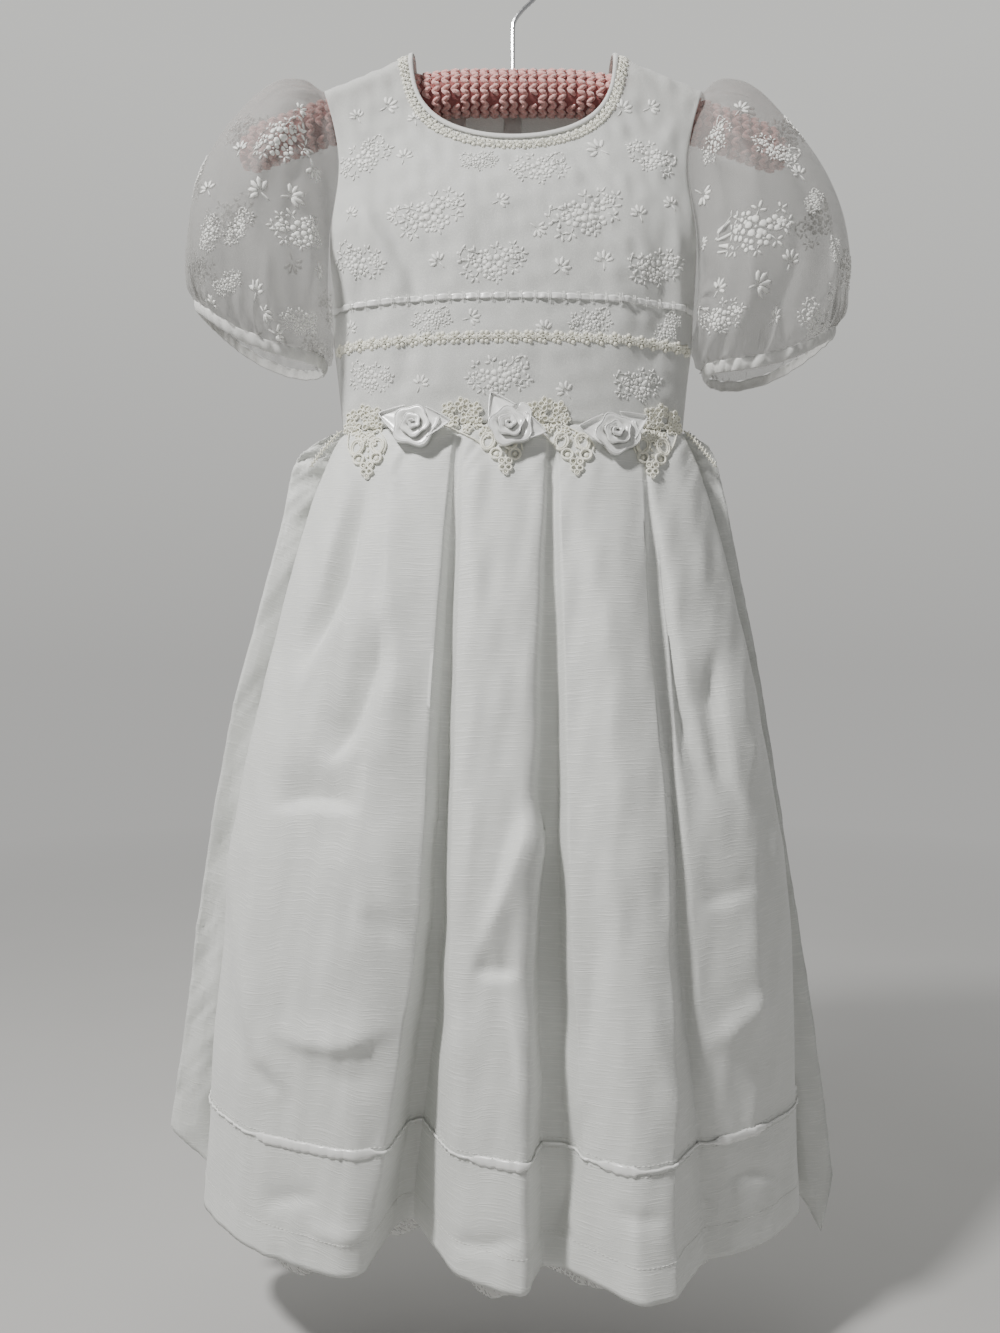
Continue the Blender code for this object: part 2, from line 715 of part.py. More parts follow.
def petticoat_ring(part, drop=0.0):
    """Closed ring inside the skirt: the front from left to right, then the back."""
    front = front_row(part, 2)
    back = back_row(part, BACK_COLUMNS)
    inset = lerp(PETTICOAT_TOP_INSET, PETTICOAT_HEM_INSET, ease(part / 0.6))
    reach = lerp(PETTICOAT_TOP_REACH, PETTICOAT_HEM_REACH, ease(part / 0.6))
    left = front[0].x + inset + 0.6 * reach
    right = front[-1].x - inset - 0.6 * reach
    z = skirt_z(part) - drop
    steps = [k * 0.25 for k in range(-4, 5)]
    ring = []
    for c in range(PETTICOAT_FRONT_COLUMNS):
        x = lerp(left, right, c / (PETTICOAT_FRONT_COLUMNS - 1))
        y = max(row_y(front, x + reach * k) for k in steps) + inset
        ring.append(Vector((x, min(y, -PETTICOAT_SIDE), z)))
    for c in range(PETTICOAT_BACK_COLUMNS):
        x = lerp(right, left, c / (PETTICOAT_BACK_COLUMNS - 1))
        y = min(row_y(back, x + reach * k) for k in steps) - inset
        ring.append(Vector((x, max(y, PETTICOAT_SIDE), z)))
    return ring


def make_petticoat(net, lace):
    parts = [PETTICOAT_TOP_PART, 0.06, 0.13, 0.24, 0.38, MID_PART, 0.70, 0.85, 0.9985]
    wall("petticoat", [petticoat_ring(part) for part in parts], NET_WALL, net, closed=True)
    top = petticoat_ring(0.9985, SEAM)
    foot = petticoat_ring(0.9985, SEAM + LACE_EDGE_HEIGHT)
    for p in foot:
        p.z += LACE_WAVE * (1.0 - math.cos(2.0 * math.pi * (p.x - LACE_LOW_X) / LACE_WAVE_LENGTH))
    wall("petticoat_lace", [top, foot], NET_WALL, lace, closed=True)


def sash_rows(side):
    """Rows down the sash, each from the outer edge to the edge behind the skirt."""
    sign = -1.0 if side == "left" else 1.0
    rows = []
    table = SASH_ROWS[side]
    drops = SASH_END_DROPS[side]
    columns = len(drops) - 1
    for r, level in enumerate(table):
        part = clamp((WAIST_Z - level.z) / (WAIST_Z - HEM_Z), 0.0, 1.0)
        seam = fold_points(part)[0 if side == "left" else -1]
        half = abs(seam.x)
        back_depth = lerp(BODICE_LEVELS[-1].back_depth, BACK_HEM_DEPTH, part ** 0.8)
        row = []
        for c in range(columns + 1):
            k = c / columns
            x = level.outer_x - level.width * k
            reach = clamp(x / half, 0.0, 0.995)
            y = back_depth * math.sqrt(1.0 - reach * reach) + SASH_CLEAR * ease(r / 2.0)
            beyond = max(x - half, 0.0)
            y = y - 0.12 * beyond + 0.0009
            y += SASH_RIPPLE * math.sin(2.1 * k * math.pi + 0.9 * r) * ease(r / 3.0)
            slant = drops[c] if r == len(table) - 1 else 0.0
            row.append(Vector((sign * x, y, level.z - slant)))
        rows.append(row)
    return rows


def make_sashes(shantung):
    for side, outward in (("left", 1.0), ("right", -1.0)):
        wall("sash_" + side, sash_rows(side), SKIRT_WALL, shantung, outward=outward)


# Waist trims

def surface_tree(names):
    """Search tree of the solids that a trim lies on."""
    points = []
    faces = []
    for name in names:
        mesh = bpy.data.objects[name].data
        start = len(points)
        points += [v.co.copy() for v in mesh.vertices]
        faces += [[start + i for i in face.vertices] for face in mesh.polygons]
    return BVHTree.FromPolygons(points, faces)


def front_face(tree, x, z, spread=0.0):
    """The foremost y of what lies behind a point seen from the front."""
    found = []
    for dx in (-spread, 0.0, spread):
        for dz in (-spread, 0.0, spread):
            hit = tree.ray_cast(Vector((x + dx, -0.5, z + dz)), Vector((0.0, 1.0, 0.0)))
            if hit[0] and hit[0].y < 0.0:
                found.append(hit[0].y)
    return min(found) if found else -SEAM


def make_motifs(lace):
    tree = surface_tree(["bodice_front", "skirt_front"])
    fields = [-1.0, 0.0, 1.0]
    for number, place in enumerate(MOTIF_PLACES, start=1):
        index = {}
        outer = []
        faces = []

        def vertex(r, x, z):
            key = (r, round(x * 1e7))
            if key not in index:
                index[key] = len(outer)
                y = front_face(tree, x, z, 0.0015) - LAID_ON
                outer.append(Vector((x, y, z)))
            return index[key]

        strips = []
        for r, row in enumerate(MOTIF_ROWS):
            centre = lerp(place.cluster_x, place.point_x, row.lean)
            z = MOTIF_TOP_Z - row.drop
            left = [-row.half_width, -row.hole_outer]
            middle = [row.hole_inner * f for f in fields]
            right = [row.hole_outer, row.half_width]
            strips.append([
                [vertex(r, centre + x, z) for x in part]
                for part in (left, middle, right)
            ])
        for upper, lower in zip(strips, strips[1:]):
            for a, b in zip(upper, lower):
                for c in range(len(a) - 1):
                    faces.append([a[c], b[c], b[c + 1]])
                    faces.append([a[c], b[c + 1], a[c + 1]])
        front = [p + Vector((0.0, -TRIM_WALL, 0.0)) for p in outer]
        add_solid("motif_%d" % number, front, outer, faces, lace)


def make_lace_ends(lace):
    """Loose lace ends that hang from the waist at each side seam."""
    for side, sign in (("left", -1.0), ("right", 1.0)):
        rows = []
        for r in range(7):
            part = r / 6
            x = sign * lerp(BODICE_LEVELS[-1].half_width + 0.0006, 0.1545, part ** 0.8)
            y = -lerp(0.0045, 0.0150, part)
            z = WAIST_Z + 0.004 - LACE_END_LENGTH * part
            width = LACE_END_WIDTH * (1.0 + 0.25 * math.sin(2.0 * math.pi * part * 3))
            across = Vector((-sign * 0.2, -1.0, 0.0)).normalized() * width / 2
            centre = Vector((x, y, z))
            rows.append([centre - across, centre, centre + across])
        wall("lace_end_" + side, rows, TRIM_WALL, lace, outward=-sign)


def angle_gap(a, b):
    return abs((a - b + math.pi) % (2.0 * math.pi) - math.pi)


def rose_outline(place, angle):
    """The rose's edge: a rounded many-sided petal with two pointed leaf corners."""
    radius = ROSE_RADIUS * (1.0 + 0.035 * math.cos(6.0 * (angle - place.turn)))
    for leaf in (place.left_leaf, place.right_leaf):
        near = 1.0 - angle_gap(angle, math.radians(leaf)) / 0.42
        radius += ROSE_LEAF * max(near, 0.0)
    return radius


def rose_height(part, angle, turn):
    """Folded ribbon wound in a spiral, highest near the middle."""
    winding = (part * ROSE_RIDGES + (angle - turn) / (2.0 * math.pi)) % 1.0
    ridge = ROSE_FOLD * math.sin(math.pi * winding) * (1.0 - part ** 3)
    return lerp(ROSE_HEIGHT - ROSE_FOLD, ROSE_EDGE, part ** 2.2) + ridge


def make_roses(satin):
    names = ["bodice_front", "skirt_front"] + ["motif_%d" % n for n in range(1, 5)]
    tree = surface_tree(names)
    around = 32
    rings = 5
    for number, place in enumerate(ROSE_PLACES, start=1):

        def seat(angle, reach):
            """Point of the rose's tilted base plane, with y measured from its middle."""
            x = place.x + reach * math.cos(angle)
            z = place.z + reach * math.sin(angle)
            lean = ROSE_TURN_OUT * place.x * (x - place.x) + ROSE_TILT * (z - place.z)
            return Vector((x, lean, z))

        base_y = 0.0
        for k in range(9):
            for i in range(48):
                angle = 2.0 * math.pi * i / 48
                p = seat(angle, rose_outline(place, angle) * k / 8)
                base_y = min(base_y, front_face(tree, p.x, p.z) - p.y)
        base = Vector((0.0, base_y - LAID_ON, 0.0))
        body = bmesh.new()
        back = []
        lines = [[body.verts.new(seat(0.0, 0.0) + base - Vector((0.0, ROSE_HEIGHT, 0.0)))]]
        for r in range(1, rings + 1):
            part = r / rings
            line = []
            for c in range(around):
                angle = 2.0 * math.pi * c / around
                reach = lerp(ROSE_RADIUS, rose_outline(place, angle), ease(part)) * part
                p = seat(angle, reach) + base
                height = rose_height(part, angle, place.turn)
                line.append(body.verts.new(p - Vector((0.0, height, 0.0))))
                if r == rings:
                    back.append(body.verts.new(p))
            lines.append(line)
        middle = body.verts.new(seat(0.0, 0.0) + base)
        for c in range(around):
            d = (c + 1) % around
            body.faces.new([lines[0][0], lines[1][c], lines[1][d]])
            body.faces.new([middle, back[d], back[c]])
            body.faces.new([lines[-1][c], back[c], back[d], lines[-1][d]])
            for near, far in zip(lines[1:], lines[2:]):
                body.faces.new([near[c], far[c], far[d]])
                body.faces.new([near[c], far[d], near[d]])
        finish_body("rose_%d" % number, body, satin)


# Inside the neck

def inside_patch(centre, size, columns, rows_count, inset):
    """Rows of points on the inside of the back, moved in."""
    rows = []
    for r in range(rows_count + 1):
        z = centre[1] + size[1] * (0.5 - r / rows_count)
        row = []
        for c in range(columns + 1):
            x = centre[0] + size[0] * (c / columns - 0.5)
            p = bodice_point(x, z, 1.0)
            row.append(Vector((x, p.y - inset, z)))
        rows.append(row)
    return rows


def make_inside(cloth):
    top = NECK_POINT[1] - BACK_NECK_DROP - 0.006
    placket_centre = (0.0, (top + WAIST_Z + 0.003) / 2)
    placket_size = (PLACKET_WIDTH, top - WAIST_Z - 0.003)
    inset = BODICE_WALL + 2 * LAID_ON
    rows = inside_patch(placket_centre, placket_size, 2, 9, inset)
    wall("back_placket", rows, TRIM_WALL, cloth, outward=-1.0)
    rows = inside_patch(LABEL_CENTRE, LABEL_SIZE, 3, 4, BODICE_WALL + LAID_ON)
    wall("neck_label", rows, LABEL_WALL, cloth, outward=-1.0)


# Hanger

def bar_centre_z(x):
    beyond = max(abs(x) - BAR_STRAIGHT, 0.0)
    return BAR_TOP - BAR_HALF_HEIGHT - BAR_FALL * beyond ** 1.5


def make_hanger(wool, chrome):
    sections = 26
    around = 12
    body = bmesh.new()
    rings = []
    for s in range(sections + 1):
        angle = math.pi * s / sections
        x = -BAR_HALF_LENGTH * math.copysign(abs(math.cos(angle)) ** 0.9, math.cos(angle))
        end = clamp((BAR_HALF_LENGTH - abs(x)) / 0.017, 0.0, 1.0)
        size = math.sqrt(1.0 - (1.0 - end) ** 2)
        if size < 0.05:
            rings.append([body.verts.new((x, 0.0, bar_centre_z(x)))])
            continue
        ring = []
        for c in range(around):
            a = 2.0 * math.pi * c / around
            y = BAR_HALF_DEPTH * size * math.cos(a)
            z = bar_centre_z(x) + BAR_HALF_HEIGHT * size * math.sin(a)
            ring.append(body.verts.new((x, y, z)))
        rings.append(ring)
    for near, far in zip(rings, rings[1:]):
        for c in range(around):
            d = (c + 1) % around
            if len(near) == 1:
                body.faces.new([near[0], far[c], far[d]])
            elif len(far) == 1:
                body.faces.new([near[c], far[0], near[d]])
            else:
                body.faces.new([near[c], far[c], far[d]])
                body.faces.new([near[c], far[d], near[d]])
    finish_body("hanger_bar", body, wool)

    curve = bpy.data.curves.new("hanger_hook", "CURVE")
    curve.dimensions = "3D"
    curve.bevel_depth = WIRE_RADIUS
    curve.bevel_resolution = 2
    curve.use_fill_caps = True
    path = hook_path()
    spline = curve.splines.new("POLY")
    spline.points.add(len(path) - 1)
    for point, place in zip(spline.points, path):
        point.co = (*place, 1.0)
    curve.materials.append(chrome)
    bpy.context.collection.objects.link(bpy.data.objects.new("hanger_hook", curve))


def hook_path():
    """Stem, shoulder and bend of the hook, along the middle of the wire."""
    centre = Vector((0.0, 0.0, WIRE_RADIUS - HOOK_RADIUS))
    start = math.radians(HOOK_START_ANGLE)
    arc_start = centre + HOOK_RADIUS * Vector((math.cos(start), 0.0, math.sin(start)))
    stem = Vector((0.0, 0.0, BAR_TOP + SEAM))
    stem_top = Vector((0.0, 0.0, -0.0590))
    heading = Vector((-math.sin(start), 0.0, math.cos(start)))
    path = [stem.lerp(stem_top, i / 3) for i in range(3)]
    pull = 0.0105
    corners = [stem_top, stem_top + Vector((0, 0, pull)), arc_start - heading * pull, arc_start]
    for i in range(8):
        k = i / 8
        a = corners[0].lerp(corners[1], k)
        b = corners[1].lerp(corners[2], k)
        c = corners[2].lerp(corners[3], k)
        path.append(a.lerp(b, k).lerp(b.lerp(c, k), k))
    steps = 16
    for i in range(steps + 1):
        angle = math.radians(lerp(HOOK_START_ANGLE, HOOK_END_ANGLE, i / steps))
        path.append(centre + HOOK_RADIUS * Vector((math.cos(angle), 0.0, math.sin(angle))))
    return path


def build():
    for old in list(bpy.data.objects):
        bpy.data.objects.remove(old, do_unlink=True)
    lace_cloth = material("lace_cloth", (0.60, 0.61, 0.58), 0.85)
    shantung = material("shantung", (0.68, 0.69, 0.66), 0.55)
    organza = material("organza", (0.62, 0.61, 0.58), 0.70)
    satin = material("satin", (0.74, 0.75, 0.73), 0.30)
    cream_lace = material("cream_lace", (0.62, 0.60, 0.50), 0.80)
    net = material("net", (0.60, 0.60, 0.60), 0.90)
    wool = material("wool", (0.60, 0.26, 0.23), 0.95)
    chrome = material("chrome", (0.70, 0.70, 0.70), 0.18, 1.0)
    make_hanger(wool, chrome)
    make_bodice(lace_cloth)
    make_inside(lace_cloth)
    make_neck_trims(lace_cloth, cream_lace)
    make_bodice_bands(satin, cream_lace)
    make_sleeves(organza, organza)
    make_skirt(shantung, satin)
    make_petticoat(net, net)
    make_sashes(shantung)
    make_motifs(cream_lace)
    make_lace_ends(cream_lace)
    make_roses(satin)


build()
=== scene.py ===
"""Looks of the first communion dress on its padded hanger.

Metres, +Z up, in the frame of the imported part: the front of the dress faces -Y
and the origin is the inside of the hook. Each piece stands for the solid whose
sizes it follows, with the cloth's folds, threads and embroidery added.
"""
import math
import random
from collections import namedtuple

import bmesh
import bpy
import numpy as np
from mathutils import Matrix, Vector
from mathutils.bvhtree import BVHTree


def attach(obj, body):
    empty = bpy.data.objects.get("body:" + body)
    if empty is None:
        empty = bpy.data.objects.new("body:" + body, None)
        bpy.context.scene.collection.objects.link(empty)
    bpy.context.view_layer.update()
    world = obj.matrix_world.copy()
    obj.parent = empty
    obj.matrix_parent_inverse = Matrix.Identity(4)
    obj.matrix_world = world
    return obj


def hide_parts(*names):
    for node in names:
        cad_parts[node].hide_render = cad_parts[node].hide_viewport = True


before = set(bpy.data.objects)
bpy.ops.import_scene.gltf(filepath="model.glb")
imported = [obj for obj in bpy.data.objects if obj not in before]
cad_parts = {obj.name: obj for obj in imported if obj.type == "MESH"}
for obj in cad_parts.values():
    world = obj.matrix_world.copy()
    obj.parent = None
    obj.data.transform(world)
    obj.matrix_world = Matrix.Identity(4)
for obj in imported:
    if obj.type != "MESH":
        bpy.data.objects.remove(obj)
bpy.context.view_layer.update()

# Camera and photograph: the camera stands level in front of the skirt
CAMERA_PLACE = Vector((-0.010, -0.775, -0.5535))
PHOTO_FOCAL = 1000.0
PHOTO_MIDDLE = (500.0, 666.5)
PHOTO_HEIGHT = 1333.0
FILM_SIDE = 36.0

# Seams and cloth
SEAM = 0.0003
CLOTH = 0.0006
SHEER = 0.0004

# Hanger
BAR_TOP = -0.0920
BAR_HALF_LENGTH = 0.2120
BAR_HALF_HEIGHT = 0.0175
BAR_HALF_DEPTH = 0.0142
BAR_STRAIGHT = 0.040
BAR_FALL = 0.68
BAR_END_ROUND = 0.017
BAR_CORE = 0.86
STITCH_PITCH = 0.0074
EYELET_PITCH = 0.0275
STITCHES_AROUND = 13
STITCH_SIZE = (0.0046, 0.0020, 0.0020)

# Bodice
NECK_POINT = (0.0755, -0.0835)
FRONT_NECK_DROP = 0.0745
BACK_NECK_DROP = 0.0180
NECK_SQUARENESS = 0.62
SHOULDER_TIP = (0.1445, -0.1125)
UNDERARM_Z = -0.296
ARMHOLE_ROUND_Z = -0.225
ARMHOLE_DEPTH = 0.0215
WAIST_Z = -0.376
CROWN_DROP = 0.015
CROWN_DEPTH = 0.0205
CHEST_DROP = 0.130
FINE = 4
ARMHOLE_COLUMNS = 8 * FINE
SIDE_COLUMNS = 2 * FINE
WAIST_COLUMNS = 8 * FINE
HALF_COLUMNS = ARMHOLE_COLUMNS + SIDE_COLUMNS + WAIST_COLUMNS
BODICE_ROWS = 66

BodiceLevel = namedtuple("BodiceLevel", "z half_width front_depth back_depth")
BODICE_LEVELS = [
    BodiceLevel(-0.1125, 0.1445, 0.034, 0.028),
    BodiceLevel(-0.1500, 0.1345, 0.038, 0.032),
    BodiceLevel(-0.1800, 0.1315, 0.042, 0.035),
    BodiceLevel(-0.2300, 0.1380, 0.047, 0.038),
    BodiceLevel(-0.2960, 0.1390, 0.049, 0.039),
    BodiceLevel(-0.3400, 0.1345, 0.048, 0.038),
    BodiceLevel(-0.3760, 0.1310, 0.046, 0.036),
]

# A crease: its path in photo pixels, width in pixels, depth in metres and lean to one side
Crease = namedtuple("Crease", "path width depth lean")
CREASE_CRISPNESS = 1.6

BODICE_FOLD_STRENGTH = 1.6
BODICE_CREASES = [
    Crease([(350, 180), (372, 225), (398, 275), (414, 330)], 9.0, 0.0022, 0.3),
    Crease([(362, 178), (388, 225), (412, 280), (424, 335)], 8.0, -0.0018, 0.0),
    Crease([(395, 285), (408, 320), (404, 375), (398, 398)], 8.0, -0.0014, 0.0),
    Crease([(345, 240), (352, 300), (350, 380)], 9.0, 0.0013, 0.0),
    Crease([(610, 240), (622, 310), (618, 395)], 12.0, 0.0013, 0.2),
    Crease([(580, 150), (600, 210), (606, 270)], 12.0, -0.0011, 0.0),
    Crease([(655, 190), (664, 260), (660, 330), (650, 395)], 10.0, -0.0014, 0.2),
    Crease([(672, 200), (680, 280), (676, 370)], 7.0, 0.0014, 0.0),
    Crease([(470, 160), (463, 240), (458, 290)], 12.0, 0.0010, 0.0),
    Crease([(530, 340), (540, 375), (538, 398)], 9.0, -0.0010, 0.0),
    Crease([(440, 345), (446, 380), (440, 398)], 9.0, 0.0010, 0.0),
    Crease([(338, 110), (360, 150), (352, 190)], 10.0, 0.0012, 0.0),
    Crease([(682, 112), (662, 150), (668, 190)], 10.0, 0.0012, 0.0),
]

# Bodice bands
RIBBON_Z = -0.2841
RIBBON_HEIGHT = 0.0052
DAISY_Z = -0.3138
BAND_REACH = 78.0
RIBBON_STITCH = 0.0104
RIBBON_COLUMNS = 420
RIBBON_PINCH = (0.86, 0.30)
RIBBON_BAR_REACH = 0.0036
RIBBON_BAR_GAP = 0.0012
DAISY_FLOWERS = 27
DAISY_SIZE = 0.0108
DAISY_CORD = 0.0005
DAISY_SWAY = 0.0012

# Neck trims: place, drop of the neck and turn of the cloth
NECK_PLACES = [
    ("front", FRONT_NECK_DROP, 1.0),
    ("back_left", BACK_NECK_DROP, -1.0),
    ("back_right", BACK_NECK_DROP, -1.0),
]
BINDING = (0.0006, 0.0042)
BRAID_FLOWER = 0.0092
BRAID_SWAY = 0.0031
BRAID_CORD = 0.00045
BRAID_MIDDLE = 0.0092
BRAID_PITCH = 0.0071

# Sleeves, one row for each ring from the armhole to the band
SleeveRing = namedtuple("SleeveRing", "outer_x outer_z inner_x inner_z half_depth square")
SLEEVE_RINGS = {
    "left": [
        SleeveRing(0.1450, -0.1122, 0.1396, -0.2963, 0.0215, 3.6),
        SleeveRing(0.1600, -0.1030, 0.1402, -0.3010, 0.0370, 2.8),
        SleeveRing(0.1790, -0.1040, 0.1408, -0.3050, 0.0470, 2.4),
        SleeveRing(0.2010, -0.1250, 0.1416, -0.3085, 0.0540, 2.3),
        SleeveRing(0.2260, -0.1560, 0.1424, -0.3110, 0.0570, 2.3),
        SleeveRing(0.2430, -0.1900, 0.1432, -0.3130, 0.0560, 2.3),
        SleeveRing(0.2490, -0.2300, 0.1440, -0.3145, 0.0500, 2.3),
        SleeveRing(0.2500, -0.2600, 0.1448, -0.3155, 0.0420, 2.3),
        SleeveRing(0.2440, -0.2730, 0.1456, -0.3165, 0.0350, 2.4),
    ],
    "right": [
        SleeveRing(0.1450, -0.1122, 0.1396, -0.2963, 0.0215, 3.6),
        SleeveRing(0.1590, -0.1070, 0.1402, -0.3010, 0.0370, 2.8),
        SleeveRing(0.1800, -0.1120, 0.1408, -0.3055, 0.0470, 2.4),
        SleeveRing(0.2030, -0.1320, 0.1416, -0.3100, 0.0540, 2.3),
        SleeveRing(0.2290, -0.1640, 0.1424, -0.3140, 0.0570, 2.3),
        SleeveRing(0.2480, -0.2020, 0.1434, -0.3170, 0.0560, 2.3),
        SleeveRing(0.2570, -0.2400, 0.1446, -0.3195, 0.0500, 2.3),
        SleeveRing(0.2560, -0.2740, 0.1460, -0.3210, 0.0420, 2.3),
        SleeveRing(0.2470, -0.2930, 0.1478, -0.3220, 0.0350, 2.4),
    ],
}
CAP_GATHERS = 31
CUFF_GATHERS = 37
CAP_GATHER = 0.0024
CUFF_GATHER = 0.0027
CUFF_SAG = 0.012
CUFF_BAND = 0.0085
SLEEVE_COLUMNS = 244
SLEEVE_ROWS = 78
SLEEVE_FOLD_STRENGTH = 1.8
SLEEVE_WANDER = 0.0017
SLEEVE_CREASES = {
    "left": [
        Crease([(318, 108), (285, 128), (262, 168), (250, 215)], 9.0, 0.0020, 0.2),
        Crease([(322, 130), (300, 165), (290, 215), (296, 270)], 8.0, -0.0018, 0.0),
        Crease([(290, 92), (250, 130), (222, 175), (214, 230)], 10.0, -0.0018, 0.0),
        Crease([(205, 200), (215, 250), (235, 300), (262, 345)], 9.0, 0.0022, 0.2),
        Crease([(245, 180), (240, 240), (255, 300), (282, 355)], 8.0, -0.0020, 0.0),
        Crease([(268, 230), (270, 290), (300, 350)], 8.0, 0.0018, 0.0),
        Crease([(198, 250), (205, 290), (225, 328)], 6.0, -0.0018, 0.0),
        Crease([(310, 200), (308, 260), (316, 330)], 6.0, 0.0015, 0.0),
    ],
    "right": [
        Crease([(700, 108), (730, 125), (752, 165), (762, 220)], 9.0, 0.0020, -0.2),
        Crease([(697, 135), (715, 175), (722, 235), (716, 290)], 8.0, -0.0018, 0.0),
        Crease([(735, 100), (780, 140), (808, 190), (820, 250)], 10.0, -0.0018, 0.0),
        Crease([(838, 230), (828, 280), (800, 330), (780, 350)], 9.0, 0.0022, 0.2),
        Crease([(790, 190), (798, 250), (778, 310), (750, 352)], 8.0, -0.0020, 0.0),
        Crease([(752, 240), (748, 300), (722, 352)], 8.0, 0.0018, 0.0),
        Crease([(843, 265), (838, 300), (822, 325)], 6.0, -0.0018, 0.0),
        Crease([(705, 220), (706, 280), (702, 340)], 6.0, 0.0015, 0.0),
    ],
}

# Skirt
HEM_Z = -0.962
MID_PART = 0.53
FLARE_X = 0.70
FLARE_Y = 0.80
BACK_HEM_DEPTH = 0.052
BACK_FOLDS = 8
BACK_FOLD_DEPTH = 0.007
HEM_RIBBON_Z = -0.8810
HEM_RIBBON_HEIGHT = 0.0050
HEM_STITCH_Z = -0.9400
HEM_STITCH_PITCH = 0.0034
HEM_STITCH_LENGTH = 0.0023

SKIRT_CREASES = [
    # The long hanging fold of the left side panel
    Crease([(369, 466), (356, 520), (342, 580), (318, 635), (290, 692)], 13.0, -0.0066, 0.6),
    Crease([(350, 470), (332, 545), (312, 605), (282, 660)], 16.0, 0.0022, 0.0),
    # The hooked fold below it
    Crease([(383, 605), (376, 660), (362, 705), (344, 742), (318, 766)], 15.0, -0.0058, 0.6),
    Crease([(400, 660), (392, 720), (372, 780)], 12.0, 0.0016, 0.0),
    # The dark facet under it, pointed at both ends
    Crease([(262, 810), (300, 800), (330, 801), (364, 809)], 17.0, -0.0044, -0.65),
    Crease([(386, 470), (385, 640), (388, 800)], 8.0, 0.0012, -0.6),
    Crease([(362, 912), (380, 928), (404, 948)], 12.0, -0.0014, -0.5),
    Crease([(384, 800), (390, 880), (404, 950)], 9.0, 0.0018, 0.0),
    # The sagging fold across the lower left
    Crease([(401, 1020), (368, 1036), (340, 1046), (300, 1040), (252, 1024)], 15.0, 0.0025, 0.4),
    Crease([(243, 890), (247, 985), (262, 1045), (294, 1102)], 13.0, 0.0024, 0.4),
    Crease([(222, 870), (225, 980), (240, 1085)], 12.0, -0.0022, 0.0),
    Crease([(300, 1060), (345, 1082), (396, 1068)], 14.0, -0.0008, 0.0),
    Crease([(255, 1060), (275, 1098)], 7.0, -0.0014, 0.0),
    Crease([(258, 1207), (290, 1200), (322, 1199)], 9.0, -0.0016, -0.3),
    Crease([(300, 1225), (345, 1238), (368, 1222)], 9.0, 0.0014, 0.0),
    # The facet of the second panel
    Crease([(538, 790), (518, 850), (498, 905), (474, 966)], 17.0, 0.0042, -0.6),
    Crease([(470, 969), (495, 974), (522, 970)], 12.0, -0.0028, -0.6),
    Crease([(470, 780), (468, 870), (464, 950)], 14.0, 0.0010, 0.0),
    Crease([(506, 985), (520, 1060), (528, 1130)], 11.0, 0.0018, -0.5),
    Crease([(440, 1238), (482, 1249), (527, 1238)], 8.0, -0.0016, -0.3),
    Crease([(462, 1000), (456, 1080), (464, 1180)], 13.0, 0.0012, 0.0),
    # The third panel
    Crease([(600, 500), (612, 700), (628, 860)], 18.0, 0.0012, 0.0),
    Crease([(600, 900), (590, 1000), (586, 1095)], 12.0, -0.0014, 0.3),
    Crease([(585, 1100), (568, 1180), (550, 1262)], 11.0, -0.0024, 0.4),
    Crease([(640, 930), (660, 1060), (690, 1160)], 16.0, 0.0018, 0.0),
    Crease([(610, 1205), (640, 1222), (676, 1215)], 8.0, -0.0012, 0.0),
    # The right side panel
    Crease([(648, 474), (663, 579), (680, 687), (697, 750), (718, 842)], 13.0, -0.0046, 0.6),
    Crease([(715, 640), (717, 703), (726, 767), (752, 829)], 13.0, -0.0040, 0.55),
    Crease([(735, 640), (744, 720), (766, 802)], 12.0, 0.0018, 0.0),
    Crease([(700, 905), (725, 898), (760, 880)], 12.0, -0.0016, -0.5),
    Crease([(704, 1052), (738, 1020), (770, 985)], 14.0, 0.0022, 0.4),
    Crease([(735, 850), (752, 940), (750, 1060)], 14.0, 0.0018, 0.2),
    Crease([(722, 1186), (755, 1174), (788, 1178)], 9.0, -0.0014, -0.3),
]
CREASE_STRENGTH = 2.1
SKIRT_STEP = 0.0030
SKIRT_LEAST_STEPS = 4
SKIRT_ROWS = 178
PUCKER_PITCH = 0.0062
SKIRT_BACK_COLUMNS = 256

# Where the hem ribbon shows at its full width, in photo pixels across
RIBBON_GLINTS = [(254, 378), (470, 530), (597, 642), (712, 768)]
RIBBON_HIDDEN = 0.30
RIBBON_SHOWN = 1.35
RIBBON_PUCKER = 0.0105

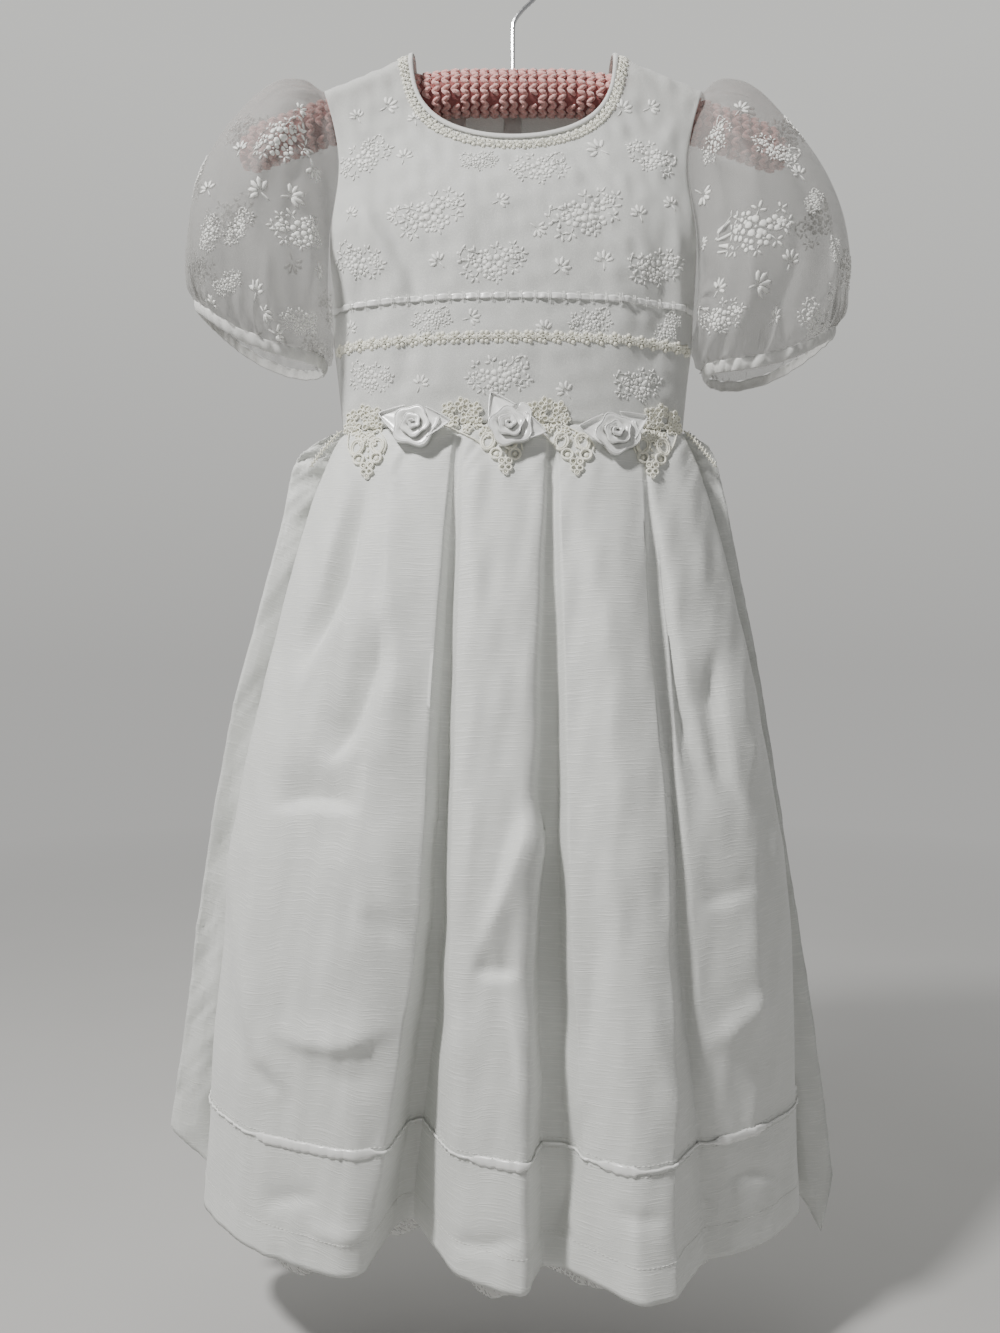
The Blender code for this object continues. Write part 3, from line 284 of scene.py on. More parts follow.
Fold = namedtuple("Fold", "name waist_x mid_x mid_y hem_x hem_y crisp")
FRONT_FOLDS = [
    Fold("left side seam", -0.1310, -0.2150, 0.0000, -0.2390, 0.0000, 0.2),
    Fold("left turn", -0.1280, -0.2110, -0.0300, -0.2300, -0.0240, 0.2),
    Fold("left side crest", -0.1190, -0.1800, -0.0680, -0.1920, -0.0680, 0.1),
    Fold("left side pleat", -0.1080, -0.1460, -0.0840, -0.1600, -0.0880, 0.3),
    Fold("first panel crest", -0.0750, -0.1050, -0.0960, -0.1180, -0.1070, 0.1),
    Fold("first panel edge", -0.0430, -0.0640, -0.0930, -0.1010, -0.0990, 0.75),
    Fold("first valley left", -0.0402, -0.0560, -0.0680, -0.0890, -0.0460, 0.6),
    Fold("first valley right", -0.0384, -0.0480, -0.0680, -0.0740, -0.0360, 0.6),
    Fold("second panel edge", -0.0350, -0.0430, -0.0940, -0.0560, -0.0740, 0.75),
    Fold("second panel left", -0.0230, -0.0290, -0.1020, -0.0380, -0.1060, 0.2),
    Fold("second panel right", 0.0190, 0.0040, -0.1040, 0.0040, -0.1270, 0.2),
    Fold("second panel end", 0.0250, 0.0125, -0.0970, 0.0120, -0.1120, 0.75),
    Fold("second valley left", 0.0266, 0.0170, -0.0720, 0.0190, -0.0930, 0.6),
    Fold("second valley right", 0.0284, 0.0320, -0.0730, 0.0340, -0.0970, 0.6),
    Fold("third panel edge", 0.0315, 0.0375, -0.0970, 0.0500, -0.1110, 0.75),
    Fold("third panel crest", 0.0600, 0.0700, -0.1060, 0.0800, -0.1370, 0.1),
    Fold("third panel end", 0.0900, 0.1040, -0.0980, 0.1040, -0.1280, 0.7),
    Fold("third valley", 0.0935, 0.1120, -0.0810, 0.1300, -0.0880, 0.4),
    Fold("right side pleat", 0.0975, 0.1210, -0.0860, 0.1430, -0.0840, 0.3),
    Fold("right side crest", 0.1170, 0.1650, -0.0680, 0.1740, -0.0680, 0.1),
    Fold("right turn", 0.1280, 0.2000, -0.0300, 0.2110, -0.0290, 0.2),
    Fold("right side seam", 0.1310, 0.2060, 0.0000, 0.2210, 0.0000, 0.2),
]

# Petticoat
PETTICOAT_TOP_PART = 0.012
PETTICOAT_TOP_INSET = 0.0023
PETTICOAT_HEM_INSET = 0.0058
PETTICOAT_TOP_REACH = 0.0075
PETTICOAT_HEM_REACH = 0.0135
PETTICOAT_SIDE = 0.0030
PETTICOAT_FOOT_PART = 0.9985
LACE_EDGE_HEIGHT = 0.0150
LACE_WAVE = 0.0055
LACE_WAVE_LENGTH = 0.0675
LACE_LOW_X = -0.0200
LACE_ROWS = 9
PETTICOAT_CLEAR = 0.0022
PETTICOAT_ROWS = 46

# Sash, one row for each height with the outer edge and the width
SashRow = namedtuple("SashRow", "z outer_x width")
SASH_ROWS = {
    "left": [
        SashRow(-0.372, 0.1380, 0.010),
        SashRow(-0.384, 0.1600, 0.020),
        SashRow(-0.400, 0.1720, 0.030),
        SashRow(-0.438, 0.1800, 0.037),
        SashRow(-0.500, 0.1960, 0.040),
        SashRow(-0.580, 0.2170, 0.040),
        SashRow(-0.677, 0.2350, 0.040),
        SashRow(-0.745, 0.2455, 0.039),
        SashRow(-0.810, 0.2535, 0.038),
        SashRow(-0.865, 0.2610, 0.038),
        SashRow(-0.913, 0.2675, 0.038),
    ],
    "right": [
        SashRow(-0.372, 0.1380, 0.010),
        SashRow(-0.384, 0.1540, 0.020),
        SashRow(-0.400, 0.1610, 0.030),
        SashRow(-0.435, 0.1690, 0.037),
        SashRow(-0.488, 0.1790, 0.040),
        SashRow(-0.544, 0.1900, 0.040),
        SashRow(-0.641, 0.2060, 0.040),
        SashRow(-0.711, 0.2170, 0.039),
        SashRow(-0.801, 0.2315, 0.038),
        SashRow(-0.877, 0.2417, 0.038),
        SashRow(-0.951, 0.2504, 0.038),
    ],
}
SASH_CLEAR = 0.0042
SASH_END_DROPS = {
    "left": (0.0, 0.010, 0.020, 0.030, 0.040),
    "right": (0.0, 0.044, 0.026, 0.012, 0.004),
}

# Waist trims
MOTIF_TOP_Z = -0.3575
MotifPlace = namedtuple("MotifPlace", "cluster_x point_x")
MOTIF_PLACES = [
    MotifPlace(-0.1125, -0.1080),
    MotifPlace(-0.0380, -0.0060),
    MotifPlace(0.0240, 0.0455),
    MotifPlace(0.1120, 0.1020),
]
# A motif's flowers: across and up from its cluster's middle, and size
MOTIF_FLOWERS = [
    (-0.0095, -0.0080, 0.0105), (0.0005, -0.0050, 0.0105), (0.0098, -0.0085, 0.0105),
    (-0.0068, -0.0165, 0.0100), (0.0042, -0.0150, 0.0105), (0.0112, -0.0175, 0.0085),
    (-0.0135, -0.0150, 0.0080),
]
RosePlace = namedtuple("RosePlace", "x z turn left_leaf right_leaf")
ROSE_PLACES = [
    RosePlace(-0.0734, -0.3767, 0.2, 160.0, 2.0),
    RosePlace(-0.0036, -0.3790, 1.1, 118.0, -12.0),
    RosePlace(0.0742, -0.3825, 0.6, 176.0, 28.0),
]
ROSE_RADIUS = 0.0178
ROSE_HEIGHT = 0.0120
ROSE_TILT = 0.20
ROSE_TURN_OUT = 3.3
ROSE_LEAF = 0.0095
ROSE_TURNS = 3.0
ROSE_COLUMNS = 330
ROSE_ACROSS = 13
ROSE_FOLD = 0.8
ROSE_EDGE_CORD = 0.00055
LEAF_GRID = 15
LEAF_WIDTH = 0.0150

# Label and placket
LABEL_CENTRE = (-0.049, -0.1140)
LABEL_SIZE = (0.024, 0.026)
PLACKET_WIDTH = 0.014
PLACKET_STITCH_X = 0.0060
PLACKET_STITCH_PITCH = 0.0032

# Embroidery: a cluster's flowers and leaves, in shares of its half width: across, up, size and kind
CLUSTER = [
    (0.00, 0.02, 0.62, "flower"), (-0.48, 0.16, 0.46, "flower"), (0.46, -0.02, 0.50, "flower"),
    (-0.20, -0.38, 0.44, "flower"), (0.24, -0.42, 0.40, "flower"), (0.22, 0.40, 0.40, "flower"),
    (-0.78, -0.12, 0.30, "leaf"), (-0.92, 0.10, 0.26, "leaf"), (0.80, 0.18, 0.30, "leaf"),
    (0.92, -0.22, 0.28, "leaf"), (0.70, -0.42, 0.26, "leaf"), (-0.56, -0.46, 0.26, "leaf"),
    (-0.18, 0.56, 0.28, "leaf"), (0.52, 0.52, 0.26, "leaf"), (-0.66, 0.50, 0.24, "leaf"),
    (0.02, -0.66, 0.22, "leaf"), (-0.72, 0.12, 0.30, "flower"), (0.62, 0.26, 0.30, "flower"),
]

# The curled stem at a cluster's corner: across and up, in shares of its half width
CURL = [(0.40, 0.40), (0.66, 0.66), (0.90, 0.74), (1.04, 0.52), (1.00, 0.26)]

# Places of the embroidery in photo pixels: middle, size in metres and turn
BODICE_CLUSTERS = [
    ((363, 158), 0.040, 0.5), ((432, 214), 0.050, 0.4), ((360, 262), 0.038, -0.3),
    ((494, 262), 0.046, 0.2), ((588, 214), 0.052, 0.5), ((650, 158), 0.038, -0.4),
    ((657, 268), 0.040, 0.3), ((498, 376), 0.044, 0.1), ((640, 385), 0.036, 0.2),
    ((538, 168), 0.040, 0.1), ((372, 378), 0.036, -0.2), ((590, 322), 0.030, 0.2),
    ((430, 320), 0.028, 0.1), ((668, 330), 0.026, 0.9), ((480, 160), 0.026, 0.1),
]
BODICE_SPRIGS = [
    ((387, 107), 0.010, 0.5), ((439, 262), 0.009, 2.3), ((499, 201), 0.009, 0.4),
    ((600, 150), 0.012, 2.6), ((537, 228), 0.009, -0.6), ((622, 110), 0.010, 1.0),
    ((404, 158), 0.009, 1.4), ((560, 268), 0.010, 0.7), ((395, 215), 0.008, 2.8),
    ((640, 215), 0.009, 1.9), ((470, 318), 0.009, 0.2), ((545, 330), 0.009, 2.0),
    ((420, 385), 0.009, 1.2), ((566, 392), 0.009, 2.2), ((350, 215), 0.008, 1.0),
    ((604, 262), 0.010, 1.6), ((672, 205), 0.008, 2.1), ((350, 330), 0.008, 0.8),
    ((415, 120), 0.008, 1.8), ((650, 108), 0.009, 0.4), ((358, 118), 0.008, 2.0),
]
SLEEVE_CLUSTERS = {
    "left": [((277, 136), 0.052, 0.3), ((300, 230), 0.044, 0.1), ((209, 232), 0.026, 1.3),
             ((238, 228), 0.026, 0.8), ((300, 322), 0.028, 0.0), ((228, 283), 0.022, 0.6)],
    "right": [((715, 140), 0.034, 0.8), ((775, 150), 0.036, -0.5), ((755, 229), 0.056, 0.1),
              ((813, 203), 0.022, 0.9), ((835, 250), 0.020, 1.2), ((720, 317), 0.036, 0.1),
              ((818, 322), 0.034, -0.4)],
}
SLEEVE_SPRIGS = {
    "left": [((313, 168), 0.011, -1.2), ((261, 192), 0.012, 2.4), ((290, 196), 0.012, 0.3),
             ((256, 292), 0.010, 1.2), ((264, 312), 0.010, -1.0), ((276, 334), 0.011, -0.6),
             ((208, 190), 0.009, 2.0), ((240, 150), 0.009, 1.4), ((214, 305), 0.009, 0.8),
             ((299, 110), 0.008, 0.4), ((318, 270), 0.008, 0.2)],
    "right": [((703, 195), 0.011, -0.6), ((718, 290), 0.010, 0.8), ((757, 285), 0.013, 0.3),
              ((740, 110), 0.009, 0.9), ((800, 175), 0.009, 2.2), ((790, 262), 0.010, 1.4),
              ((832, 290), 0.009, -0.8), ((775, 318), 0.010, 0.6), ((703, 245), 0.008, 0.2)],
}

# Studio
HORIZON_COLOUR = (0.56, 0.555, 0.54)
WORLD_STRENGTH = 0.85
SKY_COLOUR = (0.84, 0.84, 0.81)
ROOM_COLOUR = (0.10, 0.10, 0.099)
FLOOR_Z = -1.06
FLOOR_RADIUS = 9.0
Lamp = namedtuple("Lamp", "name place aim size power colour")
LAMPS = [
    Lamp("key_light", (-1.05, -0.95, 1.05), (0.0, 0.0, -0.32), 0.24, 64.0, (1.0, 0.99, 0.97)),
    Lamp("fill_light", (1.6, -1.4, 0.2), (0.0, 0.0, -0.5), 1.8, 2.0, (0.96, 0.98, 1.0)),
    Lamp("back_light", (0.3, 2.0, 1.2), (0.0, 0.0, -0.4), 1.6, 12.0, (1.0, 1.0, 1.0)),
]


# Cuts of the cloth that shows: flat width and length, flat area, how it is held, what it lies on
Cut = namedtuple("Cut", "wide long area held rests_on")


def ease(value):
    value = np.clip(value, 0.0, 1.0)
    return value * value * (3.0 - 2.0 * value)


def lerp(a, b, part):
    return a + (b - a) * part


def smooth_at(xs, ys, x):
    """Smooth curve through (xs, ys), xs rising."""
    if x <= xs[0]:
        return ys[0]
    if x >= xs[-1]:
        return ys[-1]
    k = max(i for i in range(len(xs) - 1) if xs[i] <= x)
    width = xs[k + 1] - xs[k]
    part = (x - xs[k]) / width

    def slope(i):
        low = max(i - 1, 0)
        high = min(i + 1, len(xs) - 1)
        return (ys[high] - ys[low]) / (xs[high] - xs[low])

    h1 = part * part * (3.0 - 2.0 * part)
    h2 = part * (1.0 - part) ** 2
    h3 = part * part * (part - 1.0)
    return lerp(ys[k], ys[k + 1], h1) + width * (slope(k) * h2 + slope(k + 1) * h3)


def smooth_curve(xs, ys, samples=400):
    """A function of arrays that follows the smooth curve through (xs, ys)."""
    places = np.linspace(xs[0], xs[-1], samples)
    values = [smooth_at(xs, ys, x) for x in places]
    return lambda x: np.interp(x, places, values)


def smooth_path(points, steps):
    """More points along a smooth curve through a short list of 2-D points."""
    places = list(range(len(points)))
    at = np.linspace(0, len(points) - 1, steps)
    xs = [smooth_at(places, [p[0] for p in points], t) for t in at]
    ys = [smooth_at(places, [p[1] for p in points], t) for t in at]
    return np.stack([xs, ys], axis=1)


def lengths_along(row):
    """How far each point of a row is from its first, along the row."""
    return np.concatenate([[0.0], np.cumsum(np.linalg.norm(np.diff(row, axis=0), axis=1))])


def wander(u, v, seed, waves=7):
    """Quasi-random smooth field of unit size and unit wavelength over u and v."""
    draw = random.Random(seed)
    total = np.zeros(np.broadcast(u, v).shape)
    for _ in range(waves):
        angle = draw.uniform(0.0, math.pi)
        pitch = draw.uniform(0.6, 1.6) * 2.0 * math.pi
        start = draw.uniform(0.0, 2.0 * math.pi)
        total += np.sin(pitch * (u * math.cos(angle) + v * math.sin(angle)) + start)
    return total / math.sqrt(waves)


# Photograph

def seen(points):
    """Photo pixels of an array of points."""
    away = points[..., 1] - CAMERA_PLACE.y
    right = PHOTO_MIDDLE[0] + PHOTO_FOCAL * (points[..., 0] - CAMERA_PLACE.x) / away
    down = PHOTO_MIDDLE[1] - PHOTO_FOCAL * (points[..., 2] - CAMERA_PLACE.z) / away
    return np.stack([right, down], axis=-1)


def sight(pixel):
    """Direction from the camera through a photo pixel."""
    right = (pixel[0] - PHOTO_MIDDLE[0]) / PHOTO_FOCAL
    down = (pixel[1] - PHOTO_MIDDLE[1]) / PHOTO_FOCAL
    return Vector((right, 1.0, -down)).normalized()


# Meshes

def finish_piece(name, mesh, mat, slot, *nodes):
    """Link a mesh as a piece on the root body that stands for the named nodes."""
    mesh.materials.append(mat)
    piece = bpy.data.objects.new(name, mesh)
    bpy.context.collection.objects.link(piece)
    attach(piece, "root")
    if nodes:
        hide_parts(*nodes)
    return piece


def grid_normals(grid, closed=False, turn=1.0):
    """Outward directions of a grid whose rows go down and columns go round."""
    if closed:
        along = np.roll(grid, -1, axis=1) - np.roll(grid, 1, axis=1)
    else:
        along = np.gradient(grid, axis=1)
    down = np.gradient(grid, axis=0)
    normals = np.cross(down, along)
    size = np.linalg.norm(normals, axis=2, keepdims=True)
    return normals / np.maximum(size, 1e-12) * turn


def grid_quads(rows, columns, closed=False):
    last = columns if closed else columns - 1
    r, c = np.meshgrid(np.arange(rows - 1), np.arange(last), indexing="ij")
    d = (c + 1) % columns
    quads = np.stack([r * columns + c, (r + 1) * columns + c,
                      (r + 1) * columns + d, r * columns + d], axis=-1)
    return quads.reshape(-1, 4)


def rim_quads(rows, columns, closed):
    """Faces between the edges of two layers of a grid."""
    count = rows * columns
    loops = [[c for c in range(columns)], [(rows - 1) * columns + c for c in range(columns)]]
    if closed:
        for loop in loops:
            loop.append(loop[0])
    else:
        loops.append([r * columns for r in range(rows)])
        loops.append([r * columns + columns - 1 for r in range(rows)])
    return [[a, b, count + b, count + a] for loop in loops for a, b in zip(loop, loop[1:])]


def grid_tree(grid, closed=False, turn=1.0):
    """Search tree of a grid whose faces look outwards."""
    quads = grid_quads(grid.shape[0], grid.shape[1], closed)
    if turn < 0.0:
        quads = quads[:, ::-1]
    return BVHTree.FromPolygons(grid.reshape(-1, 3).tolist(), quads.tolist())


def shell(name, grid, mat, slot, nodes=(), top=0.0, foot=-CLOTH, closed=False, turn=1.0):
    """Thin closed cloth on a grid, from foot to top along its normals; gives its search tree."""
    normals = grid_normals(grid, closed, turn)
    rows, columns = grid.shape[:2]
    count = rows * columns
    outer = grid + normals * top
    points = np.concatenate([outer.reshape(-1, 3), (grid + normals * foot).reshape(-1, 3)])
    quads = grid_quads(rows, columns, closed)
    faces = quads.tolist() + (quads[:, ::-1] + count).tolist() + rim_quads(rows, columns, closed)
    mesh = bpy.data.meshes.new(name)
    mesh.from_pydata(points.tolist(), [], faces)
    across = np.linalg.norm(np.diff(grid, axis=1), axis=2)
    across = np.concatenate([np.zeros((rows, 1)), np.cumsum(across, axis=1)], axis=1)
    across -= across[:, [columns // 2]]
    fall = np.linalg.norm(np.diff(grid, axis=0), axis=2)
    fall = np.concatenate([np.zeros((1, columns)), np.cumsum(fall, axis=0)], axis=0)
    spot = np.stack([across, -fall], axis=-1).reshape(-1, 2)
    spot = np.concatenate([spot, spot])
    corners = np.zeros(len(mesh.loops), dtype=np.int32)
    mesh.loops.foreach_get("vertex_index", corners)
    layer = mesh.uv_layers.new(name="Cloth")
    layer.data.foreach_set("uv", spot[corners].reshape(-1))
    tidy = bmesh.new()
    tidy.from_mesh(mesh)
    bmesh.ops.recalc_face_normals(tidy, faces=tidy.faces[:])
    if tidy.calc_volume(signed=True) < 0.0:
        bmesh.ops.reverse_faces(tidy, faces=tidy.faces[:])
    tidy.to_mesh(mesh)
    tidy.free()
    mesh.shade_smooth()
    piece = finish_piece(name, mesh, mat, slot, *nodes)
    return grid_tree(outer, closed, turn)


class Bag:
    """Points and faces of many small forms that make one piece."""

    def __init__(self):
        self.points = []
        self.faces = []

    def add(self, points, faces):
        start = len(self.points)
        self.points += [tuple(p) for p in points]
        self.faces += [[start + i for i in face] for face in faces]

    def piece(self, name, mat, slot, *nodes):
        mesh = bpy.data.meshes.new(name)
        mesh.from_pydata(self.points, [], self.faces)
        mesh.shade_smooth()
        finish_piece(name, mesh, mat, slot, *nodes)


class Spot:
    """A place on a cloth with its own right and up directions."""

    def __init__(self, tree, place, turn=0.0):
        self.tree = tree
        hit = tree.find_nearest(place)
        self.place = hit[0]
        self.normal = hit[1]
        right = Vector((0.0, 0.0, 1.0)).cross(self.normal).normalized()
        upward = self.normal.cross(right).normalized()
        self.right = right * math.cos(turn) + upward * math.sin(turn)
        self.up = upward * math.cos(turn) - right * math.sin(turn)

    def at(self, a, b, lift):
        point = self.place + self.right * a + self.up * b
        hit = self.tree.find_nearest(point)
        return hit[0] + hit[1] * lift


def petal(bag, spot, a, b, angle, length, width, height=0.0007, sides=8, open_width=0.62):
    """Domed oval of embroidery that starts at (a, b) and points along angle."""
    rim = []
    shoulder = []
    for k in range(sides):
        t = 2.0 * math.pi * k / sides
        along = length * 0.5 * (1.0 - math.cos(t))
        side = width * 0.5 * math.sin(t) * (0.8 + 0.4 * along / length)
        for ring, scale, lift in ((rim, 1.0, 0.00005), (shoulder, open_width, height)):
            x = lerp(length * 0.5, along, scale)
            y = side * scale
            ring.append(spot.at(a + x * math.cos(angle) - y * math.sin(angle),
                                b + x * math.sin(angle) + y * math.cos(angle), lift))
    crown = spot.at(a + length * 0.5 * math.cos(angle), b + length * 0.5 * math.sin(angle), height * 1.1)
    points = rim + shoulder + [crown]
    faces = []
    for k in range(sides):
        d = (k + 1) % sides
        faces.append([k, d, sides + d, sides + k])
        faces.append([sides + k, sides + d, 2 * sides])
    faces.append(list(range(sides))[::-1])
    bag.add(points, faces)


def tube(bag, path, radius, sides=6, closed=False):
    """Round cord along a path of points."""
    count = len(path)
    rings = []
    up = Vector((0.0, -1.0, 0.05)).normalized()
    for i, point in enumerate(path):
        ahead = path[(i + 1) % count] if closed else path[min(i + 1, count - 1)]
        behind = path[i - 1] if closed else path[max(i - 1, 0)]
        along = (ahead - behind).normalized()
        side = along.cross(up)
        side = side.normalized() if side.length > 1e-6 else Vector((1.0, 0.0, 0.0))
        out = side.cross(along).normalized()
        rings.append([point + (side * math.cos(2.0 * math.pi * k / sides)
                               + out * math.sin(2.0 * math.pi * k / sides)) * radius
                      for k in range(sides)])
    points = [p for ring in rings for p in ring]
    faces = []
    for i in range(count if closed else count - 1):
        j = (i + 1) % count
        for k in range(sides):
            d = (k + 1) % sides
            faces.append([i * sides + k, i * sides + d, j * sides + d, j * sides + k])
    if not closed:
        faces.append(list(range(sides))[::-1])
        faces.append([(count - 1) * sides + k for k in range(sides)])
    bag.add(points, faces)


def ball_form():
    """Points and faces of a small round ball."""
    form = bmesh.new()
    bmesh.ops.create_icosphere(form, subdivisions=1, radius=1.0)
    points = [v.co.copy() for v in form.verts]
    faces = [[v.index for v in face.verts] for face in form.faces]
    form.free()
    return points, faces


BALL_POINTS, BALL_FACES = ball_form()


def ball(bag, place, radius):
    bag.add([place + p * radius for p in BALL_POINTS], BALL_FACES)


# Folds

def crease_push(grid, creases, fade=0.35):
    """How far each point of a grid is pushed out by creases given in photo pixels."""
    spots = seen(grid)
    push = np.zeros(grid.shape[:2])
    for line in creases:
        path = smooth_path(line.path, 14)
        nearest = np.full(push.shape, 1e9)
        side = np.zeros(push.shape)
        part = np.zeros(push.shape)
        for i in range(len(path) - 1):
            start = path[i]
            step = path[i + 1] - start
            size = float(step @ step)
            offset = spots - start
            t = np.clip((offset @ step) / max(size, 1e-9), 0.0, 1.0)
            gap = offset - t[..., None] * step
            distance = np.linalg.norm(gap, axis=-1)
            cross = step[0] * offset[..., 1] - step[1] * offset[..., 0]
            closer = distance < nearest
            nearest = np.where(closer, distance, nearest)
            side = np.where(closer, np.sign(cross), side)
            part = np.where(closer, (i + t) / (len(path) - 1), part)
        width = line.width * np.where(side > 0, 1.0 + line.lean, 1.0 - line.lean)
        ends = ease(part / fade) * ease((1.0 - part) / fade)
        push += line.depth * np.exp(-(nearest / width) ** CREASE_CRISPNESS) * ends
    return push


# Materials

def add_node(tree, kind, inputs=None, **settings):
    made = tree.nodes.new(kind)
    for name, value in settings.items():
        setattr(made, name, value)
    for name, value in (inputs or {}).items():
        made.inputs[name].default_value = value
    return made


def blank_material(name, colour, roughness, sheen=0.0, metallic=0.0, sheen_roughness=0.5,
                   specular=0.5, anisotropic=0.0):
    made = bpy.data.materials.new(name)
    made.use_nodes = True
    shader = made.node_tree.nodes["Principled BSDF"]
    shader.inputs["Base Color"].default_value = (*colour, 1.0)
    shader.inputs["Roughness"].default_value = roughness
    shader.inputs["Metallic"].default_value = metallic
    shader.inputs["Sheen Weight"].default_value = sheen
    shader.inputs["Sheen Roughness"].default_value = sheen_roughness
    shader.inputs["Specular IOR Level"].default_value = specular
    shader.inputs["Anisotropic"].default_value = anisotropic
    return made, made.node_tree, shader


def coordinates(tree, scale, kind="UV"):
    """Cloth coordinates in metres, times a scale for each direction."""
    place = add_node(tree, "ShaderNodeTexCoord")
    mapping = add_node(tree, "ShaderNodeMapping", {"Scale": scale})
    tree.links.new(place.outputs[kind], mapping.inputs["Vector"])
    return mapping.outputs["Vector"]


def noise(tree, scale, kind="UV", detail=3.0, roughness=0.55):
    made = add_node(tree, "ShaderNodeTexNoise",
                    {"Scale": 1.0, "Detail": detail, "Roughness": roughness})
    tree.links.new(coordinates(tree, scale, kind), made.inputs["Vector"])
    return made.outputs["Fac"]


def stretched(tree, value, low, high, to_low=0.0, to_high=1.0):
    made = add_node(tree, "ShaderNodeMapRange",
                    {"From Min": low, "From Max": high, "To Min": to_low, "To Max": to_high})
    tree.links.new(value, made.inputs["Value"])
    return made.outputs["Result"]


def combined(tree, operation, a, b):
    made = add_node(tree, "ShaderNodeMath", operation=operation)
    for socket, value in zip(made.inputs, (a, b)):
        if isinstance(value, float):
            socket.default_value = value
        else:
            tree.links.new(value, socket)
    return made.outputs["Value"]


def mixed_colour(tree, part, first, second):
    made = add_node(tree, "ShaderNodeMix", data_type="RGBA")
    for socket, value in ((made.inputs[6], first), (made.inputs[7], second)):
        if isinstance(value, tuple):
            socket.default_value = (*value, 1.0)
        else:
            tree.links.new(value, socket)
    tree.links.new(part, made.inputs[0])
    return made.outputs[2]


def bump(tree, shader, height, strength, distance):
    made = add_node(tree, "ShaderNodeBump", {"Strength": strength, "Distance": distance})
    tree.links.new(height, made.inputs["Height"])
    tree.links.new(made.outputs["Normal"], shader.inputs["Normal"])


def glowing(tree, shader, colour, share):
    """Cloth surface that also passes soft light from behind."""
    soft = add_node(tree, "ShaderNodeBsdfTranslucent", {"Color": (*colour, 1.0)})
    mix = add_node(tree, "ShaderNodeMixShader", {"Fac": share})
    tree.links.new(shader.outputs["BSDF"], mix.inputs[1])
    tree.links.new(soft.outputs["BSDF"], mix.inputs[2])
    tree.links.new(mix.outputs["Shader"], tree.nodes["Material Output"].inputs["Surface"])
    return mix.outputs["Shader"]


def see_through(tree, surface, cover):
    """Let a share of the light through: cover is the part that the threads hide."""
    clear = add_node(tree, "ShaderNodeBsdfTransparent")
    mix = add_node(tree, "ShaderNodeMixShader")
    output = tree.nodes["Material Output"]
    tree.links.new(cover, mix.inputs["Fac"])
    tree.links.new(clear.outputs["BSDF"], mix.inputs[1])
    tree.links.new(surface, mix.inputs[2])
    tree.links.new(mix.outputs["Shader"], output.inputs["Surface"])


def shantung_material():
    """Crisp white cloth with fine threads and uneven slubs across it."""
    made, tree, shader = blank_material("shantung", (0.76, 0.77, 0.74), 0.50, sheen=0.25)
    slub = stretched(tree, noise(tree, (38.0, 900.0, 1.0), detail=4.0), 0.50, 0.72)
    fine = noise(tree, (160.0, 2600.0, 1.0), detail=2.0)
    broad = noise(tree, (9.0, 5.0, 1.0), detail=3.0)
    tone = combined(tree, "ADD", combined(tree, "MULTIPLY", slub, 0.55),
                    combined(tree, "MULTIPLY", fine, 0.35))
    tone = combined(tree, "ADD", tone, combined(tree, "MULTIPLY", broad, 0.35))
    colour = mixed_colour(tree, stretched(tree, tone, 0.1, 1.0), (0.70, 0.715, 0.69), (0.91, 0.915, 0.89))
    tree.links.new(colour, shader.inputs["Base Color"])
    tree.links.new(stretched(tree, slub, 0.0, 1.0, 0.52, 0.36), shader.inputs["Roughness"])
    threads = combined(tree, "ADD", combined(tree, "MULTIPLY", fine, 0.6),
                       combined(tree, "MULTIPLY", slub, 0.9))
    bump(tree, shader, threads, 0.75, 0.00028)
    return made


def lace_cloth_material():
    """White lining under fine net, a little see-through towards the shoulders."""
    made, tree, shader = blank_material("lace_cloth", (0.74, 0.74, 0.72), 0.85, sheen=0.2)
    net = add_node(tree, "ShaderNodeTexVoronoi", {"Scale": 1.0}, feature="DISTANCE_TO_EDGE")
    tree.links.new(coordinates(tree, (900.0, 900.0, 1.0)), net.inputs["Vector"])
    thread = stretched(tree, net.outputs["Distance"], 0.16, 0.04)
    broad = noise(tree, (22.0, 22.0, 1.0), detail=4.0)
    tone = combined(tree, "ADD", combined(tree, "MULTIPLY", thread, 0.55),
                    combined(tree, "MULTIPLY", broad, 0.5))
    colour = mixed_colour(tree, stretched(tree, tone, 0.1, 0.9), (0.66, 0.67, 0.65), (0.86, 0.865, 0.84))
    tree.links.new(colour, shader.inputs["Base Color"])
    bump(tree, shader, thread, 0.4, 0.00025)
    place = add_node(tree, "ShaderNodeTexCoord")
    parts = add_node(tree, "ShaderNodeSeparateXYZ")
    tree.links.new(place.outputs["Object"], parts.inputs["Vector"])
    cover = stretched(tree, parts.outputs["Z"], -0.175, -0.125, 1.0, 0.80)
    see_through(tree, glowing(tree, shader, (0.80, 0.80, 0.78), 0.12), cover)
    return made


def organza_material():
    """Sheer white sleeve cloth, in a grey that is partly its own tone and partly painted shade."""
    # Grey base and glow colours: partly the cloth's own tone, partly painted shade of the dim space behind
    # the sleeves
    made, tree, shader = blank_material("organza", (0.56, 0.555, 0.54), 0.60, sheen=0.2)
    weave = noise(tree, (700.0, 700.0, 1.0), detail=2.0)
    broad = noise(tree, (25.0, 25.0, 1.0), detail=3.0)
    cover = combined(tree, "ADD", combined(tree, "MULTIPLY", weave, 0.20),
                     combined(tree, "MULTIPLY", broad, 0.16))
    surface = glowing(tree, shader, (0.50, 0.495, 0.48), 0.40)
    see_through(tree, surface, stretched(tree, cover, 0.0, 0.36, 0.22, 0.42))
    bump(tree, shader, weave, 0.3, 0.0001)
    return made


